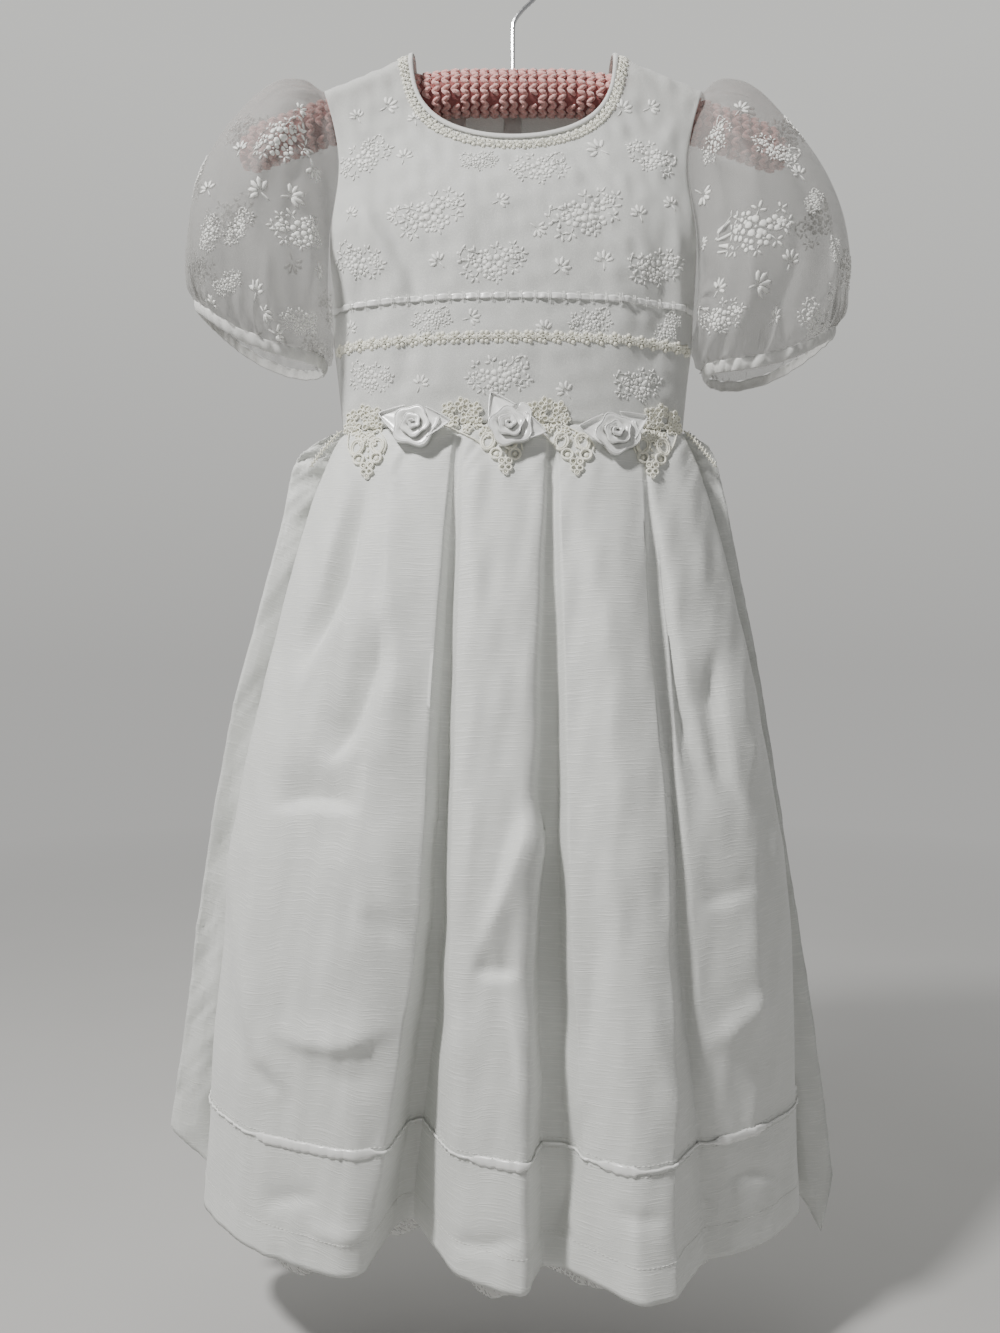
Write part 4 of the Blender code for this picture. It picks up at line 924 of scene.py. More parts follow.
def thread_material(name, colour, roughness=0.75, sheen=0.3, spread=0.10):
    """Matt thread of lace and embroidery, each form a little different in tone."""
    made, tree, shader = blank_material(name, colour, roughness, sheen=sheen)
    grain = noise(tree, (900.0, 900.0, 900.0), "Object", detail=3.0)
    dark = tuple(c * (1.0 - spread) for c in colour)
    light = tuple(min(c * (1.0 + spread), 1.0) for c in colour)
    tree.links.new(mixed_colour(tree, stretched(tree, grain, 0.3, 0.7), dark, light),
                   shader.inputs["Base Color"])
    bump(tree, shader, grain, 0.6, 0.0003)
    return made


def satin_material():
    """Glossy white satin ribbon."""
    made, tree, shader = blank_material("satin", (0.90, 0.90, 0.88), 0.22, specular=1.0, anisotropic=0.30)
    rib = noise(tree, (60.0, 2400.0, 1.0), detail=2.0)
    tree.links.new(mixed_colour(tree, rib, (0.86, 0.865, 0.85), (0.95, 0.95, 0.93)),
                   shader.inputs["Base Color"])
    tree.links.new(stretched(tree, rib, 0.3, 0.7, 0.20, 0.30), shader.inputs["Roughness"])
    bump(tree, shader, rib, 0.15, 0.0001)
    return made


def net_material():
    """Soft petticoat net with open meshes."""
    made, tree, shader = blank_material("net", (0.74, 0.74, 0.74), 0.85, sheen=0.2)
    mesh = add_node(tree, "ShaderNodeTexVoronoi", {"Scale": 1.0}, feature="DISTANCE_TO_EDGE")
    tree.links.new(coordinates(tree, (520.0, 520.0, 1.0)), mesh.inputs["Vector"])
    thread = stretched(tree, mesh.outputs["Distance"], 0.20, 0.06)
    see_through(tree, shader.outputs["BSDF"], stretched(tree, thread, 0.0, 1.0, 0.30, 0.95))
    bump(tree, shader, thread, 0.4, 0.0002)
    return made


def edge_lace_material():
    """Open lace of the petticoat's edge, thick and thin threads with holes."""
    made, tree, shader = blank_material("edge_lace", (1.0, 1.0, 0.98), 0.85, sheen=0.3)
    cell = add_node(tree, "ShaderNodeTexVoronoi", {"Scale": 1.0}, feature="DISTANCE_TO_EDGE")
    tree.links.new(coordinates(tree, (290.0, 290.0, 1.0)), cell.inputs["Vector"])
    thread = stretched(tree, cell.outputs["Distance"], 0.24, 0.10)
    blot = stretched(tree, noise(tree, (120.0, 150.0, 1.0)), 0.52, 0.58)
    body = combined(tree, "MAXIMUM", thread, blot)
    surface = glowing(tree, shader, (0.80, 0.80, 0.78), 0.25)
    see_through(tree, surface, stretched(tree, body, 0.0, 1.0, 0.16, 1.0))
    bump(tree, shader, body, 0.6, 0.0005)
    return made


def wool_material():
    """Soft pink yarn with a fuzzy surface."""
    made, tree, shader = blank_material("wool", (0.62, 0.26, 0.24), 0.95, sheen=0.8,
                                        sheen_roughness=0.6)
    fibre = noise(tree, (420.0, 420.0, 420.0), "Object", detail=5.0, roughness=0.7)
    ply = add_node(tree, "ShaderNodeTexWave", {"Scale": 130.0, "Distortion": 5.0, "Detail": 2.0},
                   bands_direction="DIAGONAL")
    place = add_node(tree, "ShaderNodeTexCoord")
    tree.links.new(place.outputs["Object"], ply.inputs["Vector"])
    tone = combined(tree, "ADD", combined(tree, "MULTIPLY", fibre, 0.7),
                    combined(tree, "MULTIPLY", ply.outputs["Fac"], 0.3))
    tree.links.new(mixed_colour(tree, stretched(tree, tone, 0.25, 0.75),
                                (0.66, 0.26, 0.235), (0.92, 0.50, 0.455)), shader.inputs["Base Color"])
    bump(tree, shader, tone, 0.9, 0.0012)
    return made


def painted_shade_core_material():
    """Painted shade deep between the stitches: the pink yarn darkened, on the pad under the crochet."""
    made, tree, shader = blank_material("painted_shade_core", (0.26, 0.085, 0.08), 1.0, sheen=0.3)
    fibre = noise(tree, (500.0, 500.0, 500.0), "Object", detail=4.0)
    tree.links.new(mixed_colour(tree, fibre, (0.24, 0.07, 0.07), (0.42, 0.15, 0.14)),
                   shader.inputs["Base Color"])
    bump(tree, shader, fibre, 0.8, 0.001)
    return made


def chrome_material():
    """Bright wire with faint marks of handling."""
    made, tree, shader = blank_material("chrome", (0.66, 0.66, 0.67), 0.2, metallic=1.0)
    marks = noise(tree, (300.0, 300.0, 60.0), "Object", detail=4.0)
    tree.links.new(stretched(tree, marks, 0.3, 0.7, 0.14, 0.30), shader.inputs["Roughness"])
    tree.links.new(mixed_colour(tree, marks, (0.55, 0.55, 0.56), (0.78, 0.78, 0.79)),
                   shader.inputs["Base Color"])
    bump(tree, shader, marks, 0.1, 0.0001)
    return made


# Bodice

LEVEL_PLACES = [-level.z for level in BODICE_LEVELS]
half_width = smooth_curve(LEVEL_PLACES, [level.half_width for level in BODICE_LEVELS])
front_depth = smooth_curve(LEVEL_PLACES, [level.front_depth for level in BODICE_LEVELS])
back_depth = smooth_curve(LEVEL_PLACES, [level.back_depth for level in BODICE_LEVELS])


def bodice_surface(x, z, facing):
    """The bodice's outer surface at arrays of x and z; facing is -1 for the front."""
    x = np.asarray(x, dtype=float)
    z = np.asarray(z, dtype=float)
    shoulder = lerp(NECK_POINT[1], SHOULDER_TIP[1],
                    np.clip((np.abs(x) - NECK_POINT[0]) / (SHOULDER_TIP[0] - NECK_POINT[0]), 0.0, 1.2))
    reach = np.clip(np.abs(x) / half_width(-z), 0.0, 1.0)
    drop = np.maximum(shoulder - z, 0.0)
    crown = np.sqrt(1.0 - (1.0 - np.clip(drop / CROWN_DROP, 0.0, 1.0)) ** 2)
    full = front_depth(-z) if facing < 0 else back_depth(-z)
    centre = lerp(CROWN_DEPTH, full, ease(drop / CHEST_DROP))
    edge = ARMHOLE_DEPTH * (1.0 - ease((ARMHOLE_ROUND_Z - z) / (ARMHOLE_ROUND_Z - UNDERARM_Z)))
    depth = crown * (edge + (centre - edge) * np.sqrt(1.0 - reach * reach))
    return np.stack([x, facing * np.maximum(depth, SEAM / 2), z], axis=-1)


def neck_curve(drop):
    """Half neck edge from the neck point on the left to the centre, as (x, z)."""
    angle = np.radians(90.0 * np.linspace(0.0, 1.0, HALF_COLUMNS + 1) ** 1.8)
    fall = np.sin(angle) ** NECK_SQUARENESS
    return np.stack([-NECK_POINT[0] * np.cos(angle), NECK_POINT[1] - drop * fall], axis=1)


def half_outline():
    """Left outline of the bodice from the shoulder tip to the waist centre."""
    armhole = lerp(SHOULDER_TIP[1], UNDERARM_Z, (np.arange(ARMHOLE_COLUMNS) / ARMHOLE_COLUMNS) ** 1.7)
    side = lerp(UNDERARM_Z, WAIST_Z, np.arange(SIDE_COLUMNS) / SIDE_COLUMNS)
    z = np.concatenate([armhole, side])
    points = np.stack([-half_width(-z), z], axis=1)
    angle = np.radians(90.0 * np.arange(WAIST_COLUMNS + 1) / WAIST_COLUMNS)
    waist = np.stack([-BODICE_LEVELS[-1].half_width * np.cos(angle), np.full(len(angle), WAIST_Z)], axis=1)
    return np.concatenate([points, waist])


def fan(drop, parts=None, distances=None):
    """Left half of the bodice as (x, z), in rows from the neck to the outline."""
    neck = neck_curve(drop)
    outline = half_outline()
    length = np.linalg.norm(outline - neck, axis=1, keepdims=True)
    if distances is not None:
        return np.stack([neck + (outline - neck) * d / length for d in distances])
    return np.stack([neck + (outline - neck) * p for p in parts])


def whole(half):
    """Add the mirrored right half to a left half of (x, z) rows."""
    other = half[:, ::-1][:, 1:] * np.array([-1.0, 1.0])
    return np.concatenate([half, other], axis=1)


def front_grid(half):
    flat = whole(half)
    grid = bodice_surface(flat[..., 0], flat[..., 1], -1.0)
    grid[..., 1] = np.minimum(grid[..., 1], -SEAM / 2)
    return grid


def back_grid(half, side):
    flat = half if side < 0 else half[:, ::-1] * np.array([-1.0, 1.0])
    grid = bodice_surface(flat[..., 0], flat[..., 1], 1.0)
    grid[..., 0] = side * np.maximum(side * grid[..., 0], SEAM / 2)
    return grid


def make_bodice(mats):
    parts = np.linspace(0.0, 1.0, BODICE_ROWS) ** 1.15
    grid = front_grid(fan(FRONT_NECK_DROP, parts))
    rim = ease((1.0 - parts) / 0.05)[:, None] * ease(parts / 0.08)[:, None]
    push = BODICE_FOLD_STRENGTH * crease_push(grid, BODICE_CREASES)
    push = push + 0.0004 * wander(grid[..., 0] * 55, grid[..., 2] * 40, 3)
    grid = grid + grid_normals(grid) * (push * rim)[..., None]
    grid[..., 1] = np.minimum(grid[..., 1], -SEAM / 2)
    trees = {"front": shell("bodice_front_cloth", grid, mats["lace_cloth"], "lace_cloth",
                            ["bodice_front"])}
    for side, sign in (("left", -1.0), ("right", 1.0)):
        grid = back_grid(fan(BACK_NECK_DROP, parts), sign)
        push = 0.0005 * wander(grid[..., 0] * 30, grid[..., 2] * 16, 7 + sign)
        push *= ease(np.abs(grid[..., 0]) / 0.01)
        grid = grid + grid_normals(grid, turn=-1.0) * (push * rim)[..., None]
        trees[side] = shell("bodice_back_%s_cloth" % side, grid, mats["lace_cloth"],
                            "lace_cloth", ["bodice_back_" + side], turn=-1.0)
    return trees


# Embroidery

def flower(bag, spot, a, b, size, turn=0.0, petals=5, height=0.0007, centre=True):
    """Round flower: a ring of petals with a gap in the middle."""
    for k in range(petals):
        angle = turn + 2.0 * math.pi * k / petals
        start = size * 0.13
        petal(bag, spot, a + start * math.cos(angle), b + start * math.sin(angle), angle,
              size * 0.37, size * 0.36, height)
    if centre:
        petal(bag, spot, a - size * 0.07, b, 0.0, size * 0.14, size * 0.14, height * 1.2, sides=6)


def sprig(bag, spot, a, b, size, turn=0.0, leaves=5):
    """Small spray of narrow leaves from one point."""
    for k in range(leaves):
        angle = turn + lerp(-1.25, 1.25, k / (leaves - 1))
        reach = size * (0.75 + 0.25 * math.cos(angle - turn))
        petal(bag, spot, a + 0.12 * size * math.cos(angle), b + 0.12 * size * math.sin(angle), angle,
              reach * 0.85, size * 0.30, 0.0006, sides=6)
    petal(bag, spot, a, b, turn + math.pi, size * 0.7, size * 0.12, 0.0005, sides=6)


def cluster(bag, spot, size, turn=0.0, seed=0, squash=0.8, height=0.0007):
    """Bunch of flowers with leaves round it, size metres across."""
    draw = random.Random(seed)
    half = size / 2.0
    flip = draw.choice((-1.0, 1.0))
    for across, up, share, kind in CLUSTER:
        x = flip * across * half
        y = up * half * squash
        a = x * math.cos(turn) - y * math.sin(turn) + draw.uniform(-0.05, 0.05) * half
        b = x * math.sin(turn) + y * math.cos(turn) + draw.uniform(-0.05, 0.05) * half
        if kind == "flower":
            flower(bag, spot, a, b, share * half, draw.uniform(0.0, 1.2), 5, height)
        else:
            angle = math.atan2(b, a)
            sprig(bag, spot, a, b, share * half, angle + draw.uniform(-0.5, 0.5), 3)
    stem = []
    for n, (across, up) in enumerate(CURL):
        x = flip * across * half
        y = up * half * squash
        a = x * math.cos(turn) - y * math.sin(turn)
        b = x * math.sin(turn) + y * math.cos(turn)
        stem.append(spot.at(a, b, 0.0003))
        if n:
            petal(bag, spot, a, b, turn + flip * (1.4 - 1.1 * n), half * 0.17, half * 0.10, height, sides=6)
    tube(bag, stem, 0.00030, sides=4)


def photo_spot(tree, pixel, turn=0.0):
    """The place on a cloth that the camera sees at a photo pixel."""
    hit = tree.ray_cast(CAMERA_PLACE, sight(pixel))
    return Spot(tree, hit[0], turn=turn) if hit[0] else None


def make_bodice_embroidery(trees, mats):
    bag = Bag()
    for n, (pixel, size, turn) in enumerate(BODICE_CLUSTERS):
        spot = photo_spot(trees["front"], pixel)
        if spot:
            cluster(bag, spot, size, turn, seed=n, height=0.0006)
    for pixel, size, turn in BODICE_SPRIGS:
        spot = photo_spot(trees["front"], pixel)
        if spot:
            sprig(bag, spot, 0.0, 0.0, size, turn)
    bag.piece("bodice_embroidery", mats["white_thread"], "lace_cloth")
    bag = Bag()
    for side, sign in (("left", -1.0), ("right", 1.0)):
        for n, (x, z) in enumerate(((0.035, -0.150), (0.095, -0.175), (0.050, -0.215), (0.105, -0.245),
                                    (0.040, -0.285), (0.095, -0.315), (0.045, -0.350))):
            place = Vector(bodice_surface(sign * x, z, 1.0))
            cluster(bag, Spot(trees[side], place), 0.042, 0.3 * (-1) ** n, seed=40 + n)
        for n, (x, z) in enumerate(((0.070, -0.125), (0.020, -0.185), (0.075, -0.275), (0.118, -0.205),
                                    (0.070, -0.345), (0.015, -0.245), (0.120, -0.350))):
            place = Vector(bodice_surface(sign * x, z, 1.0))
            sprig(bag, Spot(trees[side], place), 0.0, 0.0, 0.010, 1.7 * n)
    bag.piece("bodice_back_embroidery", mats["white_thread"], "lace_cloth")


# Neck and bands

def ring_path(side_grid, count):
    """Evenly spaced points along the middle row of a narrow band."""
    row = side_grid.mean(axis=0)
    steps = lengths_along(row)
    at = np.linspace(steps[0], steps[-1], count)
    return np.stack([np.interp(at, steps, row[:, k]) for k in range(3)], axis=1)


def neck_grid(place, drop, distances):
    half = fan(drop, distances=distances)
    if place == "front":
        return front_grid(half)
    return back_grid(half, -1.0 if place.endswith("left") else 1.0)


def make_neck_binding(place, drop, turn, mats):
    grid = neck_grid(place, drop, np.linspace(BINDING[0], BINDING[1], 5))
    swell = 0.0009 * np.sqrt(1.0 - np.linspace(-0.95, 0.95, 5) ** 2)
    grid = grid + grid_normals(grid, turn=turn) * swell[:, None, None]
    shell("neck_binding_%s_cloth" % place, grid, mats["binding"], "lace_cloth",
          ["neck_binding_" + place], top=0.0007, foot=0.0001, turn=turn)


def make_neck_braid(place, drop, tree, mats):
    """Flowers and leaves in turn between two crossing cords, with beads on them."""
    row = neck_grid(place, drop, [BRAID_MIDDLE - 0.0002, BRAID_MIDDLE + 0.0002])
    length = np.linalg.norm(np.diff(row.mean(axis=0), axis=0), axis=1).sum()
    count = max(int(length / BRAID_PITCH), 3)
    path = ring_path(row, 2 * count + 1)
    bag = Bag()
    beads = Bag()
    lines = [[], []]
    for n, place_on in enumerate(path):
        spot = Spot(tree, Vector(place_on))
        if n % 2:
            flower(bag, spot, 0.0, 0.0, BRAID_FLOWER, 0.7 * n, 5, 0.0010, centre=False)
            ball(beads, spot.at(0.0, 0.0, 0.0013), 0.0009)
            ball(beads, spot.at(0.0026, 0.0030, 0.0009), 0.0006)
        else:
            for angle in (0.9, 2.2, 4.0, 5.4):
                petal(bag, spot, 0.0, 0.0, angle, 0.0034, 0.0016, 0.0008, sides=6)
            ball(beads, spot.at(0.0, 0.0, 0.0010), 0.0007)
        sway = BRAID_SWAY * (1 if n % 2 else -1)
        ahead = path[min(n + 1, len(path) - 1)] - path[max(n - 1, 0)]
        cross = Vector(ahead).cross(spot.normal).normalized()
        for line, way in zip(lines, (sway, -sway)):
            line.append(spot.at(cross.dot(spot.right) * way, cross.dot(spot.up) * way, 0.0008))
    for line in lines:
        tube(bag, line, BRAID_CORD, sides=5)
    bag.piece("neck_braid_%s_lace" % place, mats["cream_thread"], "cream_lace", "neck_braid_" + place)
    beads.piece("neck_beads_" + place, mats["pearl"], "cream_lace")


def make_neck(trees, mats):
    for place, drop, turn in NECK_PLACES:
        make_neck_binding(place, drop, turn, mats)
        make_neck_braid(place, drop, trees[place.replace("back_", "")], mats)


def band_grid(z, height, columns, rows=5):
    """Rows across the front bodice from one side to the other."""
    angles = np.radians(np.linspace(-BAND_REACH, BAND_REACH, columns))
    grid = []
    for edge in np.linspace(z + height / 2, z - height / 2, rows):
        x = half_width(-edge) * np.sin(angles)
        grid.append(bodice_surface(x, np.full(columns, edge), -1.0))
    return np.stack(grid)


def settle(grid, tree, lift):
    """Move a grid to the nearest places on a cloth and lift it off by an array."""
    out = np.empty_like(grid)
    for r in range(grid.shape[0]):
        for c in range(grid.shape[1]):
            hit = tree.find_nearest(Vector(grid[r, c]))
            out[r, c] = hit[0] + hit[1] * float(lift[r, c])
    return out


def make_bodice_ribbon(tree, mats):
    """Satin ribbon drawn in by each pair of bars."""
    grid = band_grid(RIBBON_Z, RIBBON_HEIGHT, RIBBON_COLUMNS)
    x = grid[..., 0]
    wave = np.cos(2.0 * np.pi * x / RIBBON_STITCH)
    lift = 0.0005 + 0.0004 * np.clip(wave + 0.6, 0.0, 1.6)
    lift = lift + 0.0002 * wander(x * 160, grid[..., 2] * 90, 5)
    grid = settle(grid, tree, lift)
    pinch = RIBBON_PINCH[0] - RIBBON_PINCH[1] * np.clip(-wave, 0.0, 1.0)
    middle = grid[2:3, :, 2]
    grid[..., 2] = middle + (grid[..., 2] - middle) * pinch
    shell("bodice_ribbon_satin", grid, mats["satin"], "satin", ["bodice_ribbon"],
          top=0.0003, foot=0.0)


def make_ribbon_bars(tree, mats):
    """Pairs of thread bars that the ribbon runs under."""
    bag = Bag()
    for x in np.arange(-0.1250, 0.1251, RIBBON_STITCH):
        for shift in (-RIBBON_BAR_GAP / 2, RIBBON_BAR_GAP / 2):
            at = x + RIBBON_STITCH / 2 + shift
            path = []
            for k in range(7):
                z = RIBBON_Z + lerp(-RIBBON_BAR_REACH, RIBBON_BAR_REACH, k / 6)
                y = float(bodice_surface(at, z, -1.0)[1])
                hit = tree.find_nearest(Vector((at, y, z)))
                path.append(hit[0] + hit[1] * (0.0012 + 0.0006 * math.sin(math.pi * k / 6)))
            tube(bag, path, 0.00022, sides=5)
    bag.piece("bodice_ribbon_bars", mats["white_thread"], "lace_cloth")


def make_daisy_braid(tree, mats):
    """Daisies and small leaves in turn on two crossing cords."""
    path = ring_path(band_grid(DAISY_Z, 2 * SEAM, 200, rows=2), 2 * DAISY_FLOWERS + 1)
    spots = [Spot(tree, Vector(place_on)) for place_on in path]
    bag = Bag()
    for n, spot in enumerate(spots):
        if n % 2:
            flower(bag, spot, 0.0, 0.0, DAISY_SIZE, 0.5 * n, 6, 0.0010, centre=False)
            for angle in np.arange(0.0, 6.2, 1.05):
                petal(bag, spot, 0.0005 * math.cos(angle), 0.0005 * math.sin(angle), angle,
                      0.0012, 0.0009, 0.0015, sides=5)
        else:
            for angle in (math.pi / 2, -math.pi / 2):
                petal(bag, spot, 0.0, 0.0, angle, 0.0034, 0.0018, 0.0009, sides=6)
            petal(bag, spot, -0.0012, 0.0, 0.0, 0.0024, 0.0016, 0.0012, sides=6)
    for shift in (-DAISY_SWAY, DAISY_SWAY):
        line = [spot.at(0.0, shift * (1 if n % 2 else -1), 0.0007) for n, spot in enumerate(spots)]
        tube(bag, line, DAISY_CORD, sides=5)
    bag.piece("daisy_braid_lace", mats["cream_thread"], "cream_lace", "daisy_braid")


# Sleeves

def sleeve_grid(side, places, angles):
    """Sleeve surface in rows from armhole to cuff; angle 0 is the outer end, 90 the front."""
    rings = SLEEVE_RINGS[side]
    last = len(rings) - 1
    steps = list(range(len(rings)))
    curves = {f: smooth_curve(steps, [getattr(ring, f) for ring in rings]) for f in SleeveRing._fields}
    turn = 1.0 if side == "right" else -1.0
    draw = random.Random(11 if side == "left" else 23)
    shifts = [draw.uniform(0.0, 2.0 * math.pi) for _ in range(6)]
    grid = []
    for place in places:
        ring = {f: float(curve(place)) for f, curve in curves.items()}
        part = place / last
        power = 2.0 / ring["square"]
        cos = np.cos(angles)
        sin = np.sin(angles)
        along = np.copysign(np.abs(cos) ** power, cos)
        deep = np.copysign(np.abs(sin) ** power, sin)
        # Uneven gathers that run down from the cap and up from the band
        sway = 0.35 * np.sin(3.0 * angles + shifts[0]) + 0.25 * np.sin(5.0 * angles + shifts[1])
        cap = np.cos(CAP_GATHERS * angles + 4.0 * sway)
        cap = cap + 0.6 * np.cos(17 * angles + shifts[2] + part * 2.0)
        cuff = np.cos(CUFF_GATHERS * angles + 4.0 * sway)
        cuff = cuff + 0.7 * np.cos(19 * angles + shifts[3] - part * 2.5)
        reach_cap = 0.30 + 0.14 * np.sin(7.0 * angles + shifts[4])
        reach_cuff = 0.30 + 0.14 * np.sin(6.0 * angles + shifts[5])
        gather = CAP_GATHER * ease(place / 0.7) * cap * (1.0 - ease(part / reach_cap))
        gather = gather + CUFF_GATHER * cuff * ease((part - 1.0 + reach_cuff) / reach_cuff)
        swell = 1.0 + gather / 0.045
        centre_x = (ring["outer_x"] + ring["inner_x"]) / 2
        centre_z = (ring["outer_z"] + ring["inner_z"]) / 2
        half_x = (ring["outer_x"] - ring["inner_x"]) / 2
        half_z = (ring["outer_z"] - ring["inner_z"]) / 2
        sag = CUFF_SAG * ease((part - 0.5) / 0.5) * (1.0 - along * along)
        x = centre_x + half_x * along * lerp(1.0, swell, 0.5)
        z = centre_z + half_z * along * lerp(1.0, swell, 0.3) - sag
        y = -ring["half_depth"] * deep * swell
        seam_x = half_width(-z) + 2 * SEAM
        x = lerp(np.maximum(x, seam_x) if place > 0.0 else seam_x, x, float(ease(place)))
        grid.append(np.stack([turn * x, y, z], axis=-1))
    return np.stack(grid)


def sleeve_angles(side, columns):
    turn = 1.0 if side == "right" else -1.0
    return math.pi + turn * 2.0 * math.pi * np.arange(columns) / columns


def make_sleeves(mats):
    down = np.linspace(0.0, 1.0, SLEEVE_ROWS)
    for side in ("left", "right"):
        last = len(SLEEVE_RINGS[side]) - 1
        places = down ** 1.1 * (last - 0.03)
        angles = sleeve_angles(side, SLEEVE_COLUMNS)
        grid = sleeve_grid(side, places, angles)
        normals = grid_normals(grid, True, -1.0)
        inside = ease(down / 0.08) * ease((1.0 - down) / 0.06)
        front = ease(-grid[..., 1] / 0.012)
        push = SLEEVE_FOLD_STRENGTH * crease_push(grid, SLEEVE_CREASES[side]) * front
        wave = wander(np.cos(angles)[None, :] * 1.6 + places[:, None] * 0.25,
                      np.sin(angles)[None, :] * 1.6 + places[:, None] * 0.1, 31 if side == "left" else 57)
        push = push + SLEEVE_WANDER * wave
        grid = grid + normals * (push * inside[:, None])[..., None]
        tree = shell("sleeve_%s_cloth" % side, grid, mats["organza"], "organza",
                     ["sleeve_" + side], top=0.0, foot=-SHEER, closed=True, turn=-1.0)
        make_sleeve_band(side, last, SLEEVE_COLUMNS, mats)
        make_sleeve_flowers(side, grid, tree, mats)


def make_sleeve_band(side, last, columns, mats):
    """Gathered self-cloth band with a turned edge, stitched on the sleeve's end."""
    end = sleeve_grid(side, [last - 0.5, last], sleeve_angles(side, columns))
    end = sum(np.roll(end, shift, axis=1) for shift in range(-4, 5)) / 9.0
    down = end[1] - end[0]
    down /= np.linalg.norm(down, axis=1, keepdims=True)
    down = down + np.array([0.0, 0.0, -1.2])
    down /= np.linalg.norm(down, axis=1, keepdims=True)
    out = grid_normals(end, True, -1.0)[1]
    rows = []
    steps = 9
    for k in range(steps):
        part = k / (steps - 1)
        ruffle = 0.0007 * np.sin(0.5 * np.arange(columns)) * (1.0 - 0.6 * part)
        roll = 0.0010 * math.sin(math.pi * part)
        rows.append(end[1] + down * (-0.0004 + (CUFF_BAND + 0.0008) * part)
                    + out * (ruffle + roll + 0.0004)[:, None])
    shell("sleeve_band_%s_cloth" % side, np.stack(rows), mats["band"], "organza",
          ["sleeve_band_" + side], top=0.0004, foot=-0.0004, closed=True, turn=-1.0)


def make_sleeve_flowers(side, grid, tree, mats):
    bag = Bag()
    for n, (pixel, size, turn) in enumerate(SLEEVE_CLUSTERS[side]):
        spot = photo_spot(tree, pixel)
        if spot:
            cluster(bag, spot, size, turn, seed=80 + n, height=0.0006)
    for pixel, size, turn in SLEEVE_SPRIGS[side]:
        spot = photo_spot(tree, pixel)
        if spot:
            sprig(bag, spot, 0.0, 0.0, size, turn)
    # The same flowers on the sides and the back, where the photo doesn't look
    rows, columns = grid.shape[:2]
    draw = random.Random(5)
    for n, (down, around) in enumerate(((0.22, 0.63), (0.30, 0.84), (0.48, 0.74), (0.62, 0.60),
                                        (0.66, 0.87), (0.84, 0.72), (0.46, 0.52), (0.80, 0.54),
                                        (0.30, 0.47), (0.64, 0.46))):
        c = int(columns * around) % columns
        spot = Spot(tree, Vector(grid[int(rows * down), c]))
        if spot.normal.y < -0.35:
            continue
        if n % 3 == 2:
            sprig(bag, spot, 0.0, 0.0, 0.012, draw.uniform(0.0, 6.0))
        else:
            cluster(bag, spot, draw.uniform(0.034, 0.048), draw.uniform(-0.6, 0.6), seed=120 + n)
    bag.piece("sleeve_%s_embroidery" % side, mats["white_thread"], "organza")


# Skirt

def skirt_z(part):
    return lerp(WAIST_Z - SEAM, HEM_Z, part)


def fall(waist, mid, hem, part, power):
    """A fold's place on the way from the waist through the middle to the hem."""
    if part <= MID_PART:
        return lerp(waist, mid, (part / MID_PART) ** power)
    rest = 1.0 - MID_PART
    s = (part - MID_PART) / rest
    start = (mid - waist) * power / MID_PART * rest
    end = hem - mid
    h1 = s * s * (3.0 - 2.0 * s)
    h2 = s * (1.0 - s) ** 2
    h3 = s * s * (s - 1.0)
    return lerp(mid, hem, h1) + start * h2 * 0.6 + end * h3


def fold_points(part):
    points = []
    for fold in FRONT_FOLDS:
        waist_y = float(bodice_surface(fold.waist_x, WAIST_Z, -1.0)[1])
        if abs(fold.waist_x) >= BODICE_LEVELS[-1].half_width:
            waist_y = 0.0
        x = fall(fold.waist_x, fold.mid_x, fold.hem_x, part, FLARE_X)
        y = fall(waist_y, fold.mid_y, fold.hem_y, part, FLARE_Y)
        points.append(Vector((x, y, skirt_z(part))))
    return points


def even_places(steps):
    """Places along the folds, with the same number of steps in each."""
    return [c / steps for c in range((len(FRONT_FOLDS) - 1) * steps + 1)]


def fine_places():
    """Places along the folds, with steps as wide as the cloth between them allows."""
    points = fold_points(1.0)
    places = []
    for k in range(len(points) - 1):
        count = max(int((points[k + 1] - points[k]).length / SKIRT_STEP), SKIRT_LEAST_STEPS)
        places += [k + c / count for c in range(count)]
    return places + [float(len(points) - 1)]


def front_row(part, places):
    """Row of the skirt front: a curve through the folds, tight at crisp ones."""
    points = fold_points(part)
    last = len(points) - 1
    row = []
    for place in places:
        k = min(int(place), last - 1)
        share = place - k
        start = (points[k + 1] - points[max(k - 1, 0)]) * (0.5 * (1.0 - FRONT_FOLDS[k].crisp))
        end = (points[min(k + 2, last)] - points[k]) * (0.5 * (1.0 - FRONT_FOLDS[k + 1].crisp))
        h1 = share * share * (3.0 - 2.0 * share)
        h2 = share * (1.0 - share) ** 2
        h3 = share * share * (share - 1.0)
        p = points[k].lerp(points[k + 1], h1) + start * h2 + end * h3
        row.append((p.x, min(p.y, -SEAM / 2), p.z))
    return row


def back_row(part, columns):
    """Row from the left side seam round the back to the right side seam."""
    ends = fold_points(part)
    depth = lerp(BODICE_LEVELS[-1].back_depth, BACK_HEM_DEPTH, part ** 0.8)
    angle = np.pi * np.arange(columns + 1) / columns
    reach = np.cos(angle)
    x = np.where(reach > 0, ends[0].x * reach, -ends[-1].x * reach)
    arch = np.sin(angle)
    ripple = np.cos(2.0 * np.pi * BACK_FOLDS * (np.arange(columns + 1) / columns - 0.5))
    wave = BACK_FOLD_DEPTH * ease((part - 0.02) / 0.5) * ease((arch - 0.55) / 0.35)
    y = np.maximum(depth * arch + wave * (ripple - 0.2), SEAM / 2)
    return np.stack([x, y, np.full(columns + 1, skirt_z(part))], axis=-1)


def hem_line(grid, z, reach):
    """How near each point is to a level line of sewing, from 0 to 1."""
    return np.exp(-((grid[..., 2] - z) / reach) ** 2)


